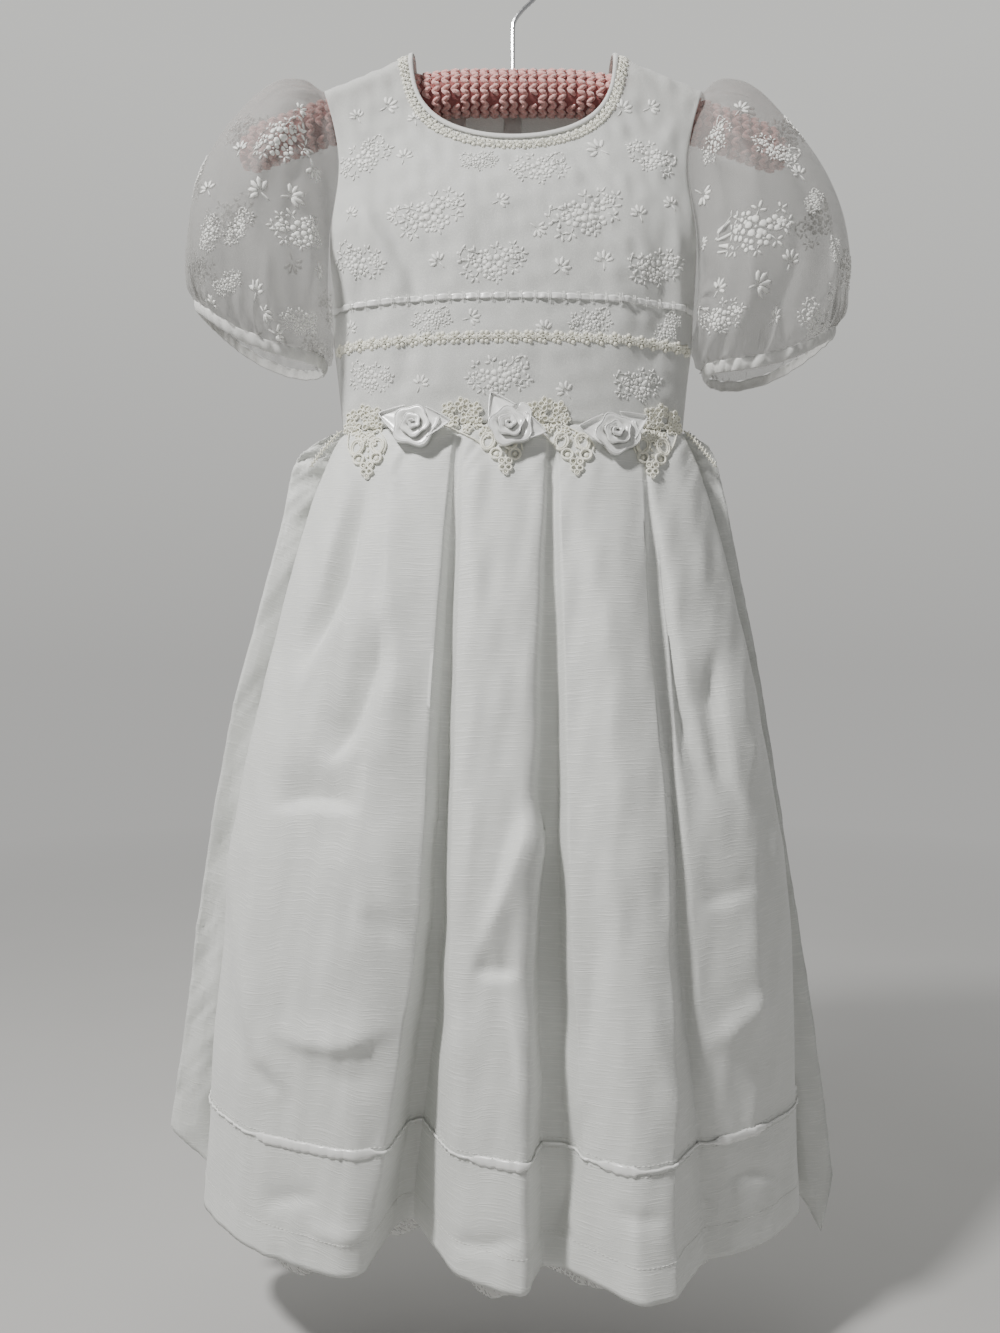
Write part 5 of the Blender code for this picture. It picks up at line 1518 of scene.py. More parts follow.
def make_skirt_front(parts, mats):
    """The pleated front with its creases; gives its points and its search tree."""
    places = fine_places()
    front = np.array([front_row(part, places) for part in parts])
    normals = grid_normals(front)
    run = np.linalg.norm(np.diff(front, axis=1), axis=2)
    run = np.concatenate([np.zeros((len(parts), 1)), np.cumsum(run, axis=1)], axis=1)
    push = CREASE_STRENGTH * crease_push(front, SKIRT_CREASES)
    push = push + 0.0007 * wander(front[..., 0] * 14, front[..., 2] * 7, 101) * ease(parts / 0.3)[:, None]
    push = push + 0.0005 * wander(front[..., 0] * 45, front[..., 2] * 26, 103)
    pucker = np.cos(2.0 * np.pi * run / PUCKER_PITCH + 2.0 * wander(run * 40, 0.0, 9))
    push = push + 0.0006 * pucker * hem_line(front, HEM_RIBBON_Z, 0.011)
    push = push - 0.0006 * hem_line(front, HEM_STITCH_Z, 0.0016)
    push = push + 0.0003 * pucker * hem_line(front, HEM_STITCH_Z, 0.006)
    # Small gathers under the waist seam
    waist = ease(1.0 - parts / 0.10)[:, None]
    push = push + 0.0006 * waist * wander(run * 95, front[..., 2] * 10, 14)
    column = np.arange(front.shape[1])
    edges = ease(column / 10.0) * ease((column[-1] - column) / 10.0)
    front = front + normals * (push * edges)[..., None]
    front[..., 1] = np.minimum(front[..., 1], -SEAM / 2)
    tree = shell("skirt_front_cloth", front, mats["shantung"], "shantung", ["skirt_front"])
    return front, tree


def make_skirt_back(parts, mats):
    """The gathered back; gives its points and its search tree."""
    back = np.stack([back_row(part, SKIRT_BACK_COLUMNS) for part in parts])
    normals = grid_normals(back, turn=-1.0)
    u = np.linspace(-1.0, 1.0, back.shape[1])[None, :]
    down = parts[:, None]
    push = 0.0022 * wander(u * 4.0, down * 1.6, 202)
    push = push * ease(down / 0.15) + 0.0005 * wander(u * 26, down * 14, 203)
    push = push + 0.0011 * np.cos(np.pi * 46 * u + 2.0 * np.sin(9 * u)) * ease(1.0 - down / 0.22)
    push = push - 0.0006 * hem_line(back, HEM_STITCH_Z, 0.0020)
    push = push + 0.0005 * np.cos(np.pi * 150 * u) * hem_line(back, HEM_RIBBON_Z, 0.011)
    edges = ease((1.0 - np.abs(u)) / 0.05)
    back = back + normals * (push * edges)[..., None]
    back[..., 1] = np.maximum(back[..., 1], SEAM / 2)
    tree = shell("skirt_back_cloth", back, mats["shantung"], "shantung", ["skirt_back"], turn=-1.0)
    return back, tree


def make_skirt(mats):
    parts = np.linspace(0.0, 1.0, SKIRT_ROWS) ** 1.04
    back_parts = parts[::2]
    front, front_tree = make_skirt_front(parts, mats)
    back, back_tree = make_skirt_back(back_parts, mats)
    make_hem_ribbon("front", front, parts, mats, 1.0)
    make_hem_ribbon("back", back, back_parts, mats, -1.0)
    make_hem_stitches(front, parts, back, back_parts, mats)
    return {"front": front_tree, "back": back_tree}


def row_at(grid, parts, z):
    """The row of a skirt grid at a height, between its own rows."""
    part = (skirt_z(0.0) - z) / (skirt_z(0.0) - HEM_Z)
    k = int(np.searchsorted(parts, part)) - 1
    share = (part - parts[k]) / (parts[k + 1] - parts[k])
    return lerp(grid[k], grid[k + 1], share)


def make_hem_ribbon(place, grid, parts, mats, turn):
    """Satin ribbon let in above the hem, pulled tight so that it glints in waves."""
    heights = [HEM_RIBBON_Z + HEM_RIBBON_HEIGHT * (0.5 - k / 4) for k in range(5)]
    band = np.stack([row_at(grid, parts, z) for z in heights])
    run = lengths_along(band[2])
    if place == "front":
        across = seen(band[2])[:, 0]
        shown = sum(ease((across - a) / 9.0) * ease((b - across) / 9.0) for a, b in RIBBON_GLINTS)
        share = lerp(RIBBON_HIDDEN, RIBBON_SHOWN, np.clip(shown, 0.0, 1.0))
        band = band[2] + (band - band[2]) * share[None, :, None]
    swell = np.array([0.15, 0.95, 1.0, 0.95, 0.15])[:, None]
    beat = np.pi * run / RIBBON_PUCKER + 1.5 * np.sin(run * 60)
    ripple = 0.0012 - 0.0010 * np.cos(beat)[None, :] ** 8
    normals = grid_normals(band, turn=turn)
    band = band + normals * (0.0004 + swell * ripple)[..., None]
    shell("hem_ribbon_%s_satin" % place, band, mats["satin"], "satin", ["hem_ribbon_" + place],
          top=0.0003, foot=0.0, turn=turn)


def make_hem_stitches(front, parts, back, back_parts, mats):
    """One row of stitches round the hem and one on each side of the ribbon."""
    bag = Bag()
    for z in (HEM_STITCH_Z, HEM_RIBBON_Z + 0.0034, HEM_RIBBON_Z - 0.0034):
        for grid, places, turn in ((front, parts, 1.0), (back, back_parts, -1.0)):
            row = row_at(grid, places, z)
            band = np.stack([row_at(grid, places, z + 0.0005), row_at(grid, places, z - 0.0005)])
            normals = grid_normals(band, turn=turn)[0]
            run = lengths_along(row)
            for start in np.arange(0.004, run[-1] - 0.004, HEM_STITCH_PITCH):
                ends = [np.interp(start + s, run, row[:, k]) for s in (0.0, HEM_STITCH_LENGTH)
                        for k in range(3)]
                out = Vector([np.interp(start, run, normals[:, k]) for k in range(3)])
                a = Vector(ends[:3]) + out * 0.0001
                b = Vector(ends[3:]) + out * 0.0001
                tube(bag, [a, a.lerp(b, 0.5) + out * 0.0003, b], 0.00016, sides=4)
    bag.piece("hem_stitches", mats["white_thread"], "shantung")


# Petticoat

def petticoat_ring(part, drop=0.0, front_columns=150, back_columns=90):
    """Closed ring inside the skirt: the front from left to right, then the back."""
    front = np.array(front_row(part, even_places(2)))
    back = np.asarray(back_row(part, 32))
    order = np.argsort(back[:, 0])
    back = back[order]
    inset = lerp(PETTICOAT_TOP_INSET, PETTICOAT_HEM_INSET, float(ease(part / 0.6)))
    reach = lerp(PETTICOAT_TOP_REACH, PETTICOAT_HEM_REACH, float(ease(part / 0.6)))
    left = front[0, 0] + inset + 0.6 * reach
    right = front[-1, 0] - inset - 0.6 * reach
    z = skirt_z(part) - drop
    x = np.linspace(left, right, front_columns)
    steps = np.linspace(-1.0, 1.0, 9)
    order = np.argsort(front[:, 0], kind="stable")
    front = front[order]
    y = np.max([np.interp(x + reach * k, front[:, 0], front[:, 1]) for k in steps], axis=0) + inset
    one = np.stack([x, np.minimum(y, -PETTICOAT_SIDE), np.full(front_columns, z)], axis=-1)
    x = np.linspace(right, left, back_columns)
    y = np.min([np.interp(x + reach * k, back[:, 0], back[:, 1]) for k in steps], axis=0) - inset
    other = np.stack([x, np.maximum(y, PETTICOAT_SIDE), np.full(back_columns, z)], axis=-1)
    return np.concatenate([one, other])


def held_inside(grid, trees):
    """Hold the petticoat clear of the inner face of the skirt's creases."""
    front = grid[..., 1] < 0.0
    limit = np.full(front.shape, 9.0)
    for r, c in np.ndindex(front.shape):
        sign = -1.0 if front[r, c] else 1.0
        start = Vector((grid[r, c, 0], sign, grid[r, c, 2]))
        hit = trees["front" if front[r, c] else "back"].ray_cast(start, Vector((0.0, -sign, 0.0)))
        if hit[0] is not None:
            limit[r, c] = abs(hit[0].y) - PETTICOAT_CLEAR
    padded = np.pad(limit, ((1, 1), (0, 0)), mode="edge")
    near = limit.copy()
    for rows in (0, 1, 2):
        for columns in (-2, -1, 0, 1, 2):
            beside = np.roll(padded[rows:rows + PETTICOAT_ROWS], columns, axis=1)
            near = np.minimum(near, beside)
    depth = np.minimum(np.abs(grid[..., 1]), np.maximum(near, PETTICOAT_SIDE))
    held = grid.copy()
    held[..., 1] = np.where(front, -depth, depth)
    return held


def make_petticoat(mats, trees):
    parts = np.linspace(PETTICOAT_TOP_PART, PETTICOAT_FOOT_PART, PETTICOAT_ROWS)
    free = np.stack([petticoat_ring(part) for part in parts])
    grid = held_inside(free, trees)
    moved = grid[-1, :, 1] - free[-1, :, 1]
    shell("petticoat_net", grid, mats["net"], "net", ["petticoat"], top=0.0, foot=-SHEER, closed=True)
    rows = []
    for share in np.linspace(0.0, 1.0, LACE_ROWS):
        ring = petticoat_ring(PETTICOAT_FOOT_PART, SEAM + LACE_EDGE_HEIGHT * share)
        wave = LACE_WAVE * (1.0 - np.cos(2.0 * np.pi * (ring[:, 0] - LACE_LOW_X) / LACE_WAVE_LENGTH))
        scallop = 0.0016 * np.abs(np.sin(np.pi * np.arange(len(ring)) / 5.0)) - 0.0016
        ring[:, 2] += (wave - scallop * 0.8) * share
        ripple = 0.0012 * np.cos(2.0 * np.pi * np.arange(len(ring)) / 11.0) * share
        ring[:, 1] += ripple + moved
        rows.append(ring)
    shell("petticoat_lace_edge", np.stack(rows), mats["edge_lace"], "net", ["petticoat_lace"],
          top=0.0, foot=-0.0005, closed=True)


# Sashes

def make_sashes(mats):
    rows = 150
    columns = 17
    k = np.linspace(0.0, 1.0, columns)
    for side, outward in (("left", 1.0), ("right", -1.0)):
        sign = -1.0 if side == "left" else 1.0
        table = SASH_ROWS[side]
        index = list(range(len(table)))
        curves = [smooth_curve(index, [getattr(row, f) for row in table]) for f in SashRow._fields]
        drops = np.interp(k, np.linspace(0.0, 1.0, 5), SASH_END_DROPS[side])
        grid = []
        for at in np.linspace(0.0, len(table) - 1, rows):
            z, outer_x, width = (float(curve(at)) for curve in curves)
            part = min(max((WAIST_Z - z) / (WAIST_Z - HEM_Z), 0.0), 1.0)
            half = abs(fold_points(part)[0 if side == "left" else -1].x)
            depth = lerp(BODICE_LEVELS[-1].back_depth, BACK_HEM_DEPTH, part ** 0.8)
            x = outer_x - width * k
            reach = np.clip(x / half, 0.0, 0.995)
            y = depth * np.sqrt(1.0 - reach * reach) + SASH_CLEAR * float(ease(at / 2.0))
            y = y - 0.12 * np.maximum(x - half, 0.0) + 0.0009
            y = y + 0.0014 * np.sin(2.1 * k * math.pi + 0.9 * at) * float(ease(at / 3.0))
            y = y + 0.0009 * wander(k * 1.6, np.full(columns, at * 1.3), 61 if side == "left" else 67)
            y = y + 0.0005 * wander(k * 5.0, np.full(columns, at * 4.0), 71)
            slant = drops * float(ease((at - (len(table) - 2)) / 1.0))
            grid.append(np.stack([sign * x, y, z - slant], axis=-1))
        shell("sash_%s_cloth" % side, np.stack(grid), mats["shantung"], "shantung",
              ["sash_" + side], top=0.0, foot=-0.0011, turn=outward)


# Waist lace

def front_hit(trees, x, z):
    """The foremost y of the cloth at a point seen from the front."""
    found = [tree.ray_cast(Vector((x, -0.5, z)), Vector((0.0, 1.0, 0.0))) for tree in trees]
    ys = [hit[0].y for hit in found if hit[0] and hit[0].y < 0.0]
    return min(ys) if ys else -SEAM


class Flat:
    """Lays forms drawn in x and z on what the front camera sees of some cloths."""

    def __init__(self, trees, x, z):
        self.trees = trees
        self.x = x
        self.z = z

    def at(self, a, b, lift):
        x = self.x + a
        z = self.z + b
        return Vector((x, front_hit(self.trees, x, z) - lift, z))


def loop_points(middle_x, middle_z, wide, tall, turn=0.0, point=0.0, count=16):
    """Closed oval, or a teardrop whose tip looks down where point is over 0."""
    path = []
    for k in range(count):
        t = 2.0 * math.pi * k / count
        x = wide / 2 * math.sin(t) * (1.0 - point * (0.5 - 0.5 * math.cos(t)) * 0.5)
        z = tall / 2 * math.cos(t)
        path.append((middle_x + x * math.cos(turn) - z * math.sin(turn),
                     middle_z + x * math.sin(turn) + z * math.cos(turn)))
    return path


def cord_loop(bag, flat, path, radius=0.00055, lift=0.0010):
    tube(bag, [flat.at(x, z, lift) for x, z in path], radius, sides=5, closed=True)


def lace_flower(bag, flat, x, z, size, turn):
    """Corded flower: five overlapping loops round a middle ring."""
    for k in range(5):
        angle = turn + 2.0 * math.pi * k / 5
        reach = size * 0.31
        petal(bag, flat, x, z, angle, size * 0.52, size * 0.34, 0.0007, sides=8)
        cord_loop(bag, flat, loop_points(x + reach * math.cos(angle), z + reach * math.sin(angle),
                                         size * 0.34, size * 0.42, angle - math.pi / 2, count=12),
                  0.00062, 0.0011 + 0.0002 * (k % 2))
    cord_loop(bag, flat, loop_points(x, z, size * 0.2, size * 0.2, count=8), 0.0007, 0.0016)


def motif_point(bag, flat, cx, px):
    """The hanging point: two wide teardrops, two filled loops and a small tip."""
    lean = px - cx
    for s in (-1.0, 1.0):
        top_x = cx + lean * 0.85 + s * 0.0080
        cord_loop(bag, flat, loop_points(top_x, -0.0330, 0.0118, 0.0130, s * 0.25, 0.5), 0.0010, 0.0012)
        cord_loop(bag, flat, loop_points(top_x + s * 0.0001, -0.0330, 0.0080, 0.0098, s * 0.25, 0.5),
                  0.0007, 0.0010)
        low_x = px + s * 0.0068
        cord_loop(bag, flat, loop_points(low_x, -0.0425, 0.0082, 0.0078, s * 0.3), 0.0010, 0.0013)
        cord_loop(bag, flat, loop_points(px + s * 0.0026, -0.0480, 0.0042, 0.0042), 0.0008, 0.0013)
        cord_loop(bag, flat, loop_points(px + s * 0.0022, -0.0530, 0.0044, 0.0040), 0.0008, 0.0013)
        petal(bag, flat, low_x - 0.0022, -0.0425, 0.0, 0.0044, 0.0046, 0.0011)
        petal(bag, flat, px + s * 0.0026 - 0.0012, -0.0480, 0.0, 0.0024, 0.0024, 0.0011)
    cord_loop(bag, flat, loop_points(px, -0.0562, 0.0036, 0.0034), 0.0006, 0.0013)
    petal(bag, flat, px - 0.0011, -0.0562, 0.0, 0.0022, 0.0022, 0.0012)


def motif_stalk(bag, flat, cx, px):
    """Knots down the middle from the cluster to the point, and a cord on each side."""
    lean = px - cx
    for k in range(6):
        z = lerp(-0.0220, -0.0455, k / 5)
        x = lerp(cx + lean * 0.35, px, min(k / 3, 1.0))
        petal(bag, flat, x - 0.0012, z, 0.0, 0.0026, 0.0034, 0.0012, sides=6)
    for s in (-1.0, 1.0):
        path = [(cx + s * 0.0120, -0.0195), (cx + lean * 0.45 + s * 0.0142, -0.0260),
                (cx + lean * 0.85 + s * 0.0150, -0.0330), (px + s * 0.0122, -0.0395)]
        points = smooth_path(path, 12)
        tube(bag, [flat.at(x, z, 0.0011) for x, z in points], 0.0006, sides=5)
    for k in range(4):
        x = lerp(cx, px, 0.25 + 0.2 * k)
        lace_flower(bag, flat, x + (0.004 if k % 2 else -0.004), -0.0225 - 0.0022 * k, 0.0075, k)


def make_motifs(trees, mats):
    for number, place in enumerate(MOTIF_PLACES, start=1):
        bag = Bag()
        flat = Flat(trees, 0.0, MOTIF_TOP_Z)
        side = 1.0 if number in (1, 2) else -1.0
        for k, (dx, dz, size) in enumerate(MOTIF_FLOWERS):
            lace_flower(bag, flat, place.cluster_x + side * dx, dz, size, 0.6 * k)
        motif_point(bag, flat, place.cluster_x, place.point_x)
        motif_stalk(bag, flat, place.cluster_x, place.point_x)
        bag.piece("motif_%d_lace" % number, mats["cream_thread"], "cream_lace", "motif_%d" % number)


def make_lace_ends(mats):
    """Loose corded lace ends at the side seams."""
    for side, sign in (("left", -1.0), ("right", 1.0)):
        bag = Bag()
        middle = []
        for r in range(13):
            part = r / 12
            x = sign * lerp(BODICE_LEVELS[-1].half_width + 0.0006, 0.1545, part ** 0.8)
            y = -lerp(0.0045, 0.0150, part)
            z = WAIST_Z + 0.004 - 0.030 * part
            middle.append(Vector((x, y, z)))
        tube(bag, middle, 0.0007, sides=5)
        for r in range(1, 12):
            centre = middle[r]
            size = 0.0021 if r % 2 else 0.0016
            ring = []
            for k in range(10):
                t = 2.0 * math.pi * k / 10
                ring.append(centre + Vector((sign * 0.3 * size * math.sin(t), size * math.cos(t) * 1.2,
                                             size * math.sin(t))))
            tube(bag, ring, 0.00045, sides=5, closed=True)
        bag.piece("lace_end_%s_cord" % side, mats["cream_thread"], "cream_lace", "lace_end_" + side)


# Ribbon roses

def rose_seat(trees, place):
    """A function that puts points on a rose's tilted base, x and z from its middle."""
    def lean(x, z):
        return ROSE_TURN_OUT * place.x * x + ROSE_TILT * z

    lows = []
    for angle in np.arange(24) * math.pi / 12:
        for reach in (0.0, 0.5, 1.0):
            x = ROSE_RADIUS * reach * math.cos(angle)
            z = ROSE_RADIUS * reach * math.sin(angle)
            lows.append(front_hit(trees, place.x + x, place.z + z) - lean(x, z))
    base_y = min(lows) - 0.0008
    return lambda x, z, height: (place.x + x, base_y + lean(x, z) - height, place.z + z)


def rose_strip(place):
    """The ribbon rolled up as (x, z, height): rows from its inner edge over the fold."""
    theta = np.linspace(0.0, ROSE_TURNS * 2.0 * math.pi, ROSE_COLUMNS)
    part = theta / theta[-1]
    rim = lerp(0.0011, ROSE_RADIUS, part ** 1.25)
    corner = 1.0 + 0.10 * ease(part / 0.25) * np.cos(5.0 * (theta * 0.965 - place.turn) - 2.0 * part)
    rim = rim * corner
    top = lerp(ROSE_HEIGHT, 0.0052, part ** 1.3)
    previous = np.interp(theta - 2.0 * math.pi, theta, rim, left=0.0)
    inner = np.maximum(previous * 0.86, 0.0002)
    dip = lerp(0.0038, 0.0056, part) * ease(part / 0.08 + 0.3)
    turn = theta + place.turn
    rows = []
    for k in range(ROSE_ACROSS):
        s = k / (ROSE_ACROSS - 1)
        if s <= ROSE_FOLD:
            q = s / ROSE_FOLD
            radius = lerp(inner, rim, q)
            height = top - dip * (1.0 - q) ** 1.6 + 0.0009 * np.sin(np.pi * q) * ease(part / 0.2)
        else:
            q = (s - ROSE_FOLD) / (1.0 - ROSE_FOLD)
            radius = rim + 0.0007 * math.sin(math.pi * 0.5 * q)
            height = top - 0.0035 * q * q * (1.0 + part)
        rows.append(np.stack([radius * np.cos(turn), radius * np.sin(turn), height], axis=-1))
    return rows


def make_roses(trees, mats):
    for number, place in enumerate(ROSE_PLACES, start=1):
        seat = rose_seat(trees, place)
        points = np.array([[seat(x, z, h) for x, z, h in row] for row in rose_strip(place)])
        shell("rose_%d_satin" % number, points, mats["satin"], "satin", ["rose_%d" % number],
              top=0.0002, foot=-0.0002)
        edges = Bag()
        folded = [Vector(points[10, c]) for c in range(40, ROSE_COLUMNS, 2)]
        tube(edges, [point - Vector((0.0, 0.0003, 0.0)) for point in folded], ROSE_EDGE_CORD, sides=6)
        make_rose_leaves(number, place, seat, mats, edges)
        edges.piece("rose_%d_edges" % number, mats["satin"], "satin")


def make_rose_leaves(number, place, seat, mats, edges):
    """Folded pointed ribbon corners that stick out from under the rose."""
    last = LEAF_GRID - 1
    for name, leaf in (("left", place.left_leaf), ("right", place.right_leaf)):
        angle = math.radians(leaf)
        tip = ROSE_RADIUS + ROSE_LEAF
        rows = []
        for r in range(LEAF_GRID):
            part = r / last
            radius = lerp(ROSE_RADIUS * 0.55, tip, part)
            wide = LEAF_WIDTH * (1.0 - part) ** 0.85 + 0.0002
            row = []
            for c in range(LEAF_GRID):
                k = lerp(-1.0, 1.0, c / last)
                fold = 0.0022 * (abs(k) ** 4) + 0.0016 * (1.0 - abs(k)) * (1.0 - part)
                height = lerp(0.0036, 0.0022, part) + fold
                side = wide * k * 0.75
                row.append(seat(radius * math.cos(angle) - side * math.sin(angle),
                                radius * math.sin(angle) + side * math.cos(angle), height))
            rows.append(row)
        rows = np.array(rows)
        shell("rose_%d_leaf_%s" % (number, name), rows, mats["satin"], "satin",
              top=0.0002, foot=-0.0003)
        rim = [rows[r, 0] for r in range(LEAF_GRID)] + [rows[r, last] for r in range(last - 1, -1, -1)]
        tube(edges, [Vector(point) - Vector((0.0, 0.0003, 0.0)) for point in rim], 0.0005, sides=6)


# Inside the neck

def patch(centre, size, columns, rows, inset):
    grid = []
    for z in np.linspace(centre[1] + size[1] / 2, centre[1] - size[1] / 2, rows):
        x = np.linspace(centre[0] - size[0] / 2, centre[0] + size[0] / 2, columns)
        row = bodice_surface(x, np.full(columns, z), 1.0)
        row[:, 1] -= inset
        grid.append(row)
    return np.stack(grid)


def make_inside(mats):
    top = NECK_POINT[1] - BACK_NECK_DROP - 0.006
    foot = WAIST_Z + 0.003
    grid = patch((0.0, (top + foot) / 2), (PLACKET_WIDTH, top - foot), 15, 60, 0.0028)
    grid[..., 1] += 0.0004 * wander(grid[..., 0] * 80, grid[..., 2] * 30, 88)
    shell("back_placket_cloth", grid, mats["lining"], "lace_cloth", ["back_placket"],
          top=0.0002, foot=-0.0008, turn=-1.0)
    grid = patch(LABEL_CENTRE, LABEL_SIZE, 13, 13, 0.0026)
    grid[..., 1] -= 0.0004 * ease((LABEL_CENTRE[1] - grid[..., 2]) / 0.013)
    shell("neck_label_satin", grid, mats["label"], "lace_cloth", ["neck_label"],
          top=0.0003, foot=-0.0002, turn=-1.0)
    bag = Bag()
    for x in (-PLACKET_STITCH_X, PLACKET_STITCH_X):
        for z in np.arange(foot + 0.004, top - 0.002, PLACKET_STITCH_PITCH):
            y = float(bodice_surface(x, z, 1.0)[1]) - 0.0038
            tube(bag, [Vector((x, y, z)), Vector((x, y - 0.0002, z + 0.0011)), Vector((x, y, z + 0.0022))],
                 0.00018, sides=4)
    # The thread bar of the back opening
    for z in (-0.1165, -0.1175):
        y = float(bodice_surface(0.0, z, 1.0)[1]) - 0.0040
        tube(bag, [Vector((-0.005, y, z)), Vector((0.0, y - 0.0004, z)), Vector((0.006, y, z))],
             0.0003, sides=5)
    bag.piece("placket_stitches", mats["white_thread"], "lace_cloth")


# Hanger

def bar_centre_z(x):
    beyond = max(abs(x) - BAR_STRAIGHT, 0.0)
    return BAR_TOP - BAR_HALF_HEIGHT - BAR_FALL * beyond ** 1.5


def bar_size(x):
    end = min(max((BAR_HALF_LENGTH - abs(x)) / BAR_END_ROUND, 0.0), 1.0)
    return math.sqrt(1.0 - (1.0 - end) ** 2)


def make_hanger_pad(mats):
    rows = []
    for k in range(121):
        angle = math.pi * k / 120
        x = -(BAR_HALF_LENGTH - 0.0012) * math.cos(angle)
        size = max(bar_size(x), 0.03)
        ring = []
        for c in range(32):
            a = 2.0 * math.pi * c / 32
            ring.append((x, BAR_HALF_DEPTH * BAR_CORE * size * math.cos(a),
                         bar_centre_z(x) + BAR_HALF_HEIGHT * BAR_CORE * size * math.sin(a)))
        rows.append(ring)
    rows = np.array(rows)
    count = rows.shape[0] * rows.shape[1]
    faces = grid_quads(rows.shape[0], rows.shape[1], True).tolist()
    faces.append(list(range(32))[::-1])
    faces.append([count - 32 + k for k in range(32)])
    mesh = bpy.data.meshes.new("hanger_pad")
    mesh.from_pydata(rows.reshape(-1, 3).tolist(), [], faces)
    tidy = bmesh.new()
    tidy.from_mesh(mesh)
    bmesh.ops.recalc_face_normals(tidy, faces=tidy.faces[:])
    tidy.to_mesh(mesh)
    tidy.free()
    mesh.shade_smooth()
    # The pad's dark material is painted shade for the hollows between the crochet stitches
    pad = finish_piece("hanger_pad", mesh, mats["painted_shade_core"], "wool", "hanger_bar")


def make_hanger_stitches(mats):
    """Crochet of two slanted strands to a stitch, with eyelets left out of one row."""
    bag = Bag()
    draw = random.Random(2)
    reach = 0.90
    for n in range(int(2 * BAR_HALF_LENGTH / STITCH_PITCH)):
        x = -BAR_HALF_LENGTH + STITCH_PITCH * (n + 0.7)
        size = bar_size(x)
        if size < 0.3:
            continue
        for m in range(STITCHES_AROUND):
            a = 2.0 * math.pi * m / STITCHES_AROUND
            facing_front = math.cos(a) < -0.4
            at_eyelet = abs((x / EYELET_PITCH) % 1.0 - 0.5) < STITCH_PITCH / EYELET_PITCH * 0.50
            if facing_front and at_eyelet and -0.75 < math.sin(a) < -0.40:
                continue
            normal = Vector((0.0, math.cos(a) / BAR_HALF_DEPTH, math.sin(a) / BAR_HALF_HEIGHT)).normalized()
            tangent = Vector((1.0, 0.0, 0.0)).cross(normal).normalized()
            centre = Vector((x, BAR_HALF_DEPTH * reach * size * math.cos(a),
                             bar_centre_z(x) + BAR_HALF_HEIGHT * reach * size * math.sin(a)))
            for s in (-1.0, 1.0):
                slant = s * 0.55 + draw.uniform(-0.12, 0.12)
                long_axis = Vector((1.0, 0.0, 0.0)) * math.cos(slant) + tangent * math.sin(slant)
                short_axis = normal.cross(long_axis).normalized()
                middle = centre + tangent * s * 0.0017 + Vector((draw.uniform(-0.0003, 0.0003), 0.0, 0.0))
                scale = size * draw.uniform(0.94, 1.06)
                points = [middle + long_axis * p.x * STITCH_SIZE[0] * scale
                          + short_axis * p.y * STITCH_SIZE[1] * scale
                          + normal * p.z * STITCH_SIZE[2] * scale for p in BALL_POINTS]
                bag.add(points, BALL_FACES)
    bag.piece("hanger_stitches", mats["wool"], "wool")


# Studio

def make_camera():
    camera_data = bpy.data.cameras.new("photo_camera")
    camera_data.sensor_fit = "AUTO"
    camera_data.sensor_width = FILM_SIDE
    camera_data.lens = FILM_SIDE * PHOTO_FOCAL / PHOTO_HEIGHT
    camera = bpy.data.objects.new("photo_camera", camera_data)
    camera.location = CAMERA_PLACE
    camera.rotation_euler = (math.radians(90.0), 0.0, 0.0)
    bpy.context.collection.objects.link(camera)
    bpy.context.scene.camera = camera


def make_lights():
    for lamp in LAMPS:
        data = bpy.data.lights.new(lamp.name, "AREA")
        data.shape = "DISK"
        data.size = lamp.size
        data.energy = lamp.power
        data.color = lamp.colour
        light = bpy.data.objects.new(lamp.name, data)
        light.location = lamp.place
        aim = Vector(lamp.aim) - Vector(lamp.place)
        light.rotation_euler = aim.to_track_quat("-Z", "Y").to_euler()
        bpy.context.collection.objects.link(light)


def make_world():
    """Pale air that is darker on the camera's side."""
    world = bpy.data.worlds.new("studio")
    world.use_nodes = True
    tree = world.node_tree
    place = add_node(tree, "ShaderNodeTexCoord")
    parts = add_node(tree, "ShaderNodeSeparateXYZ")
    tree.links.new(place.outputs["Generated"], parts.inputs["Vector"])
    wall = mixed_colour(tree, stretched(tree, parts.outputs["Z"], 0.0, 0.5),
                        HORIZON_COLOUR, SKY_COLOUR)
    colour = mixed_colour(tree, stretched(tree, parts.outputs["Y"], -0.5, 0.5), ROOM_COLOUR, wall)
    background = tree.nodes["Background"]
    tree.links.new(colour, background.inputs["Color"])
    background.inputs["Strength"].default_value = WORLD_STRENGTH
    bpy.context.scene.world = world


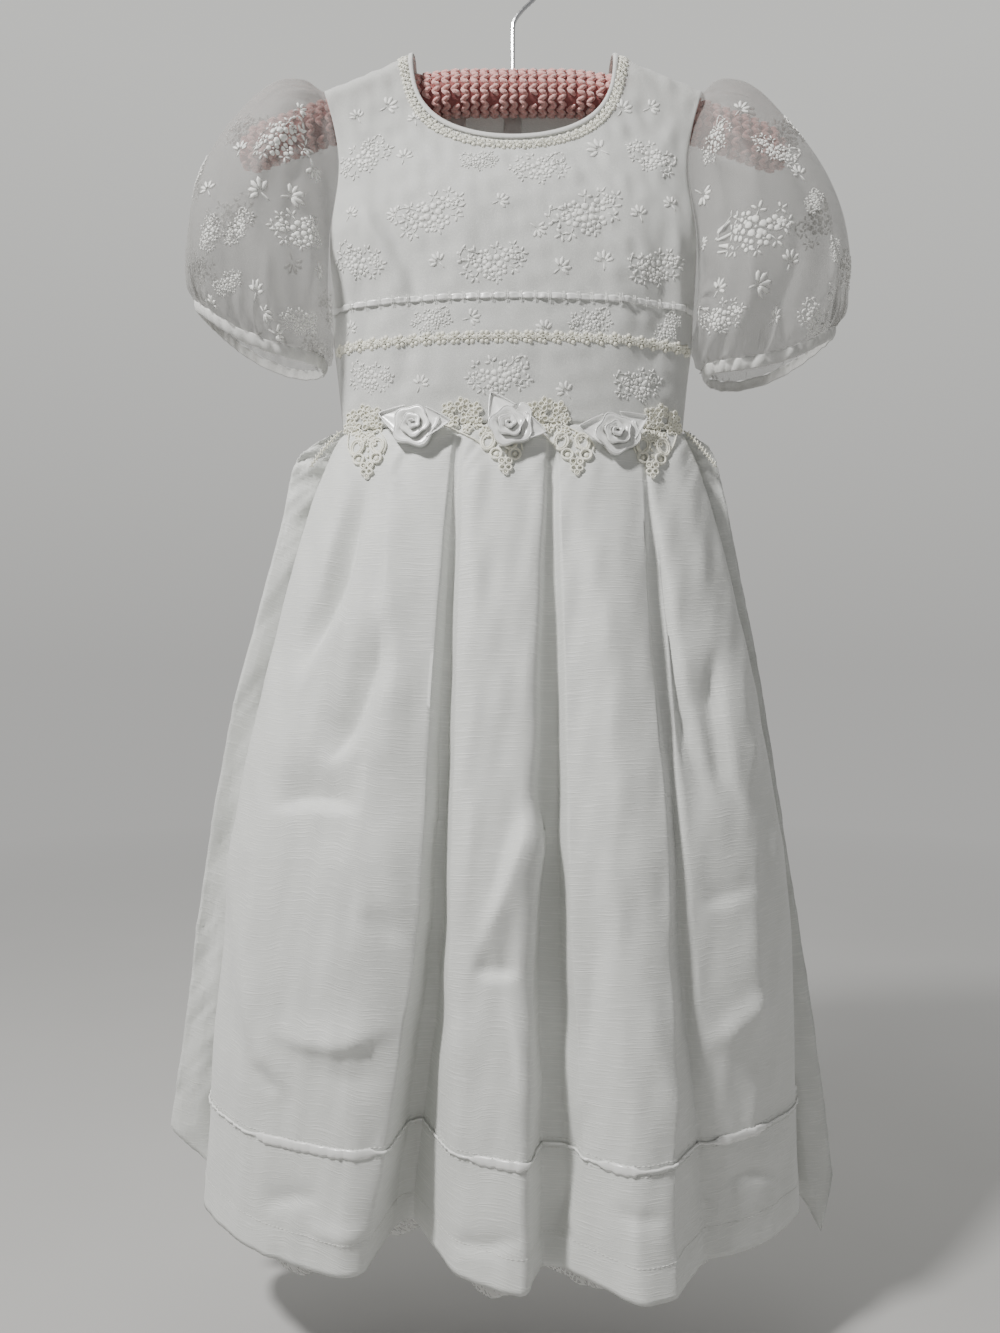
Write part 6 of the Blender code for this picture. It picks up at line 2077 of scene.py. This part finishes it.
def make_floor():
    bpy.ops.mesh.primitive_circle_add(vertices=96, radius=FLOOR_RADIUS, fill_type="NGON",
                                      location=(0.0, 0.0, FLOOR_Z))
    floor = bpy.context.object
    floor.name = "floor"
    mat, tree, shader = blank_material("floor", (0.47, 0.465, 0.455), 0.9)
    place = add_node(tree, "ShaderNodeTexCoord")
    reach = add_node(tree, "ShaderNodeVectorMath", operation="LENGTH")
    tree.links.new(place.outputs["Object"], reach.inputs[0])
    grain = noise(tree, (3.0, 3.0, 3.0), "Object")
    near = mixed_colour(tree, grain, (0.44, 0.435, 0.425), (0.50, 0.495, 0.485))
    tree.links.new(near, shader.inputs["Base Color"])
    # Far off the floor takes the tone of the air behind it, so that no line shows
    haze = add_node(tree, "ShaderNodeEmission",
                    {"Color": (*HORIZON_COLOUR, 1.0), "Strength": WORLD_STRENGTH})
    mix = add_node(tree, "ShaderNodeMixShader")
    tree.links.new(stretched(tree, reach.outputs["Value"], 0.2, 2.6), mix.inputs["Fac"])
    tree.links.new(shader.outputs["BSDF"], mix.inputs[1])
    tree.links.new(haze.outputs["Emission"], mix.inputs[2])
    tree.links.new(mix.outputs["Shader"], tree.nodes["Material Output"].inputs["Surface"])
    floor.data.materials.append(mat)


def make_materials():
    return {
        "lace_cloth": lace_cloth_material(),
        "shantung": shantung_material(),
        "organza": organza_material(),
        "band": thread_material("band", (0.72, 0.72, 0.70), 0.7, spread=0.06),
        "binding": thread_material("binding", (0.70, 0.70, 0.68), 0.7, spread=0.06),
        "lining": thread_material("lining", (0.72, 0.72, 0.70), 0.6, spread=0.04),
        "label": thread_material("label", (0.78, 0.78, 0.76), 0.45, spread=0.03),
        "white_thread": thread_material("white_thread", (0.93, 0.93, 0.90), 0.5, spread=0.04),
        "cream_thread": thread_material("cream_thread", (0.93, 0.915, 0.80), 0.5, spread=0.06),
        "pearl": thread_material("pearl", (0.92, 0.91, 0.84), 0.22, sheen=0.0, spread=0.03),
        "satin": satin_material(),
        "net": net_material(),
        "edge_lace": edge_lace_material(),
        "wool": wool_material(),
        # The pad core's dark pink is painted shade, not a darker yarn
        "painted_shade_core": painted_shade_core_material(),
        "chrome": chrome_material(),
    }


def main():
    make_camera()
    make_lights()
    make_world()
    make_floor()
    mats = make_materials()
    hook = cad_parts["hanger_hook"]
    hook.data.materials.clear()
    hook.data.materials.append(mats["chrome"])
    make_hanger_pad(mats)
    make_hanger_stitches(mats)
    bodice_trees = make_bodice(mats)
    make_bodice_embroidery(bodice_trees, mats)
    make_neck(bodice_trees, mats)
    make_bodice_ribbon(bodice_trees["front"], mats)
    make_ribbon_bars(bodice_trees["front"], mats)
    make_daisy_braid(bodice_trees["front"], mats)
    make_inside(mats)
    make_sleeves(mats)
    skirt_trees = make_skirt(mats)
    make_petticoat(mats, skirt_trees)
    make_sashes(mats)
    front_trees = [bodice_trees["front"], skirt_trees["front"]]
    make_motifs(front_trees, mats)
    make_lace_ends(mats)
    make_roses(front_trees, mats)


main()
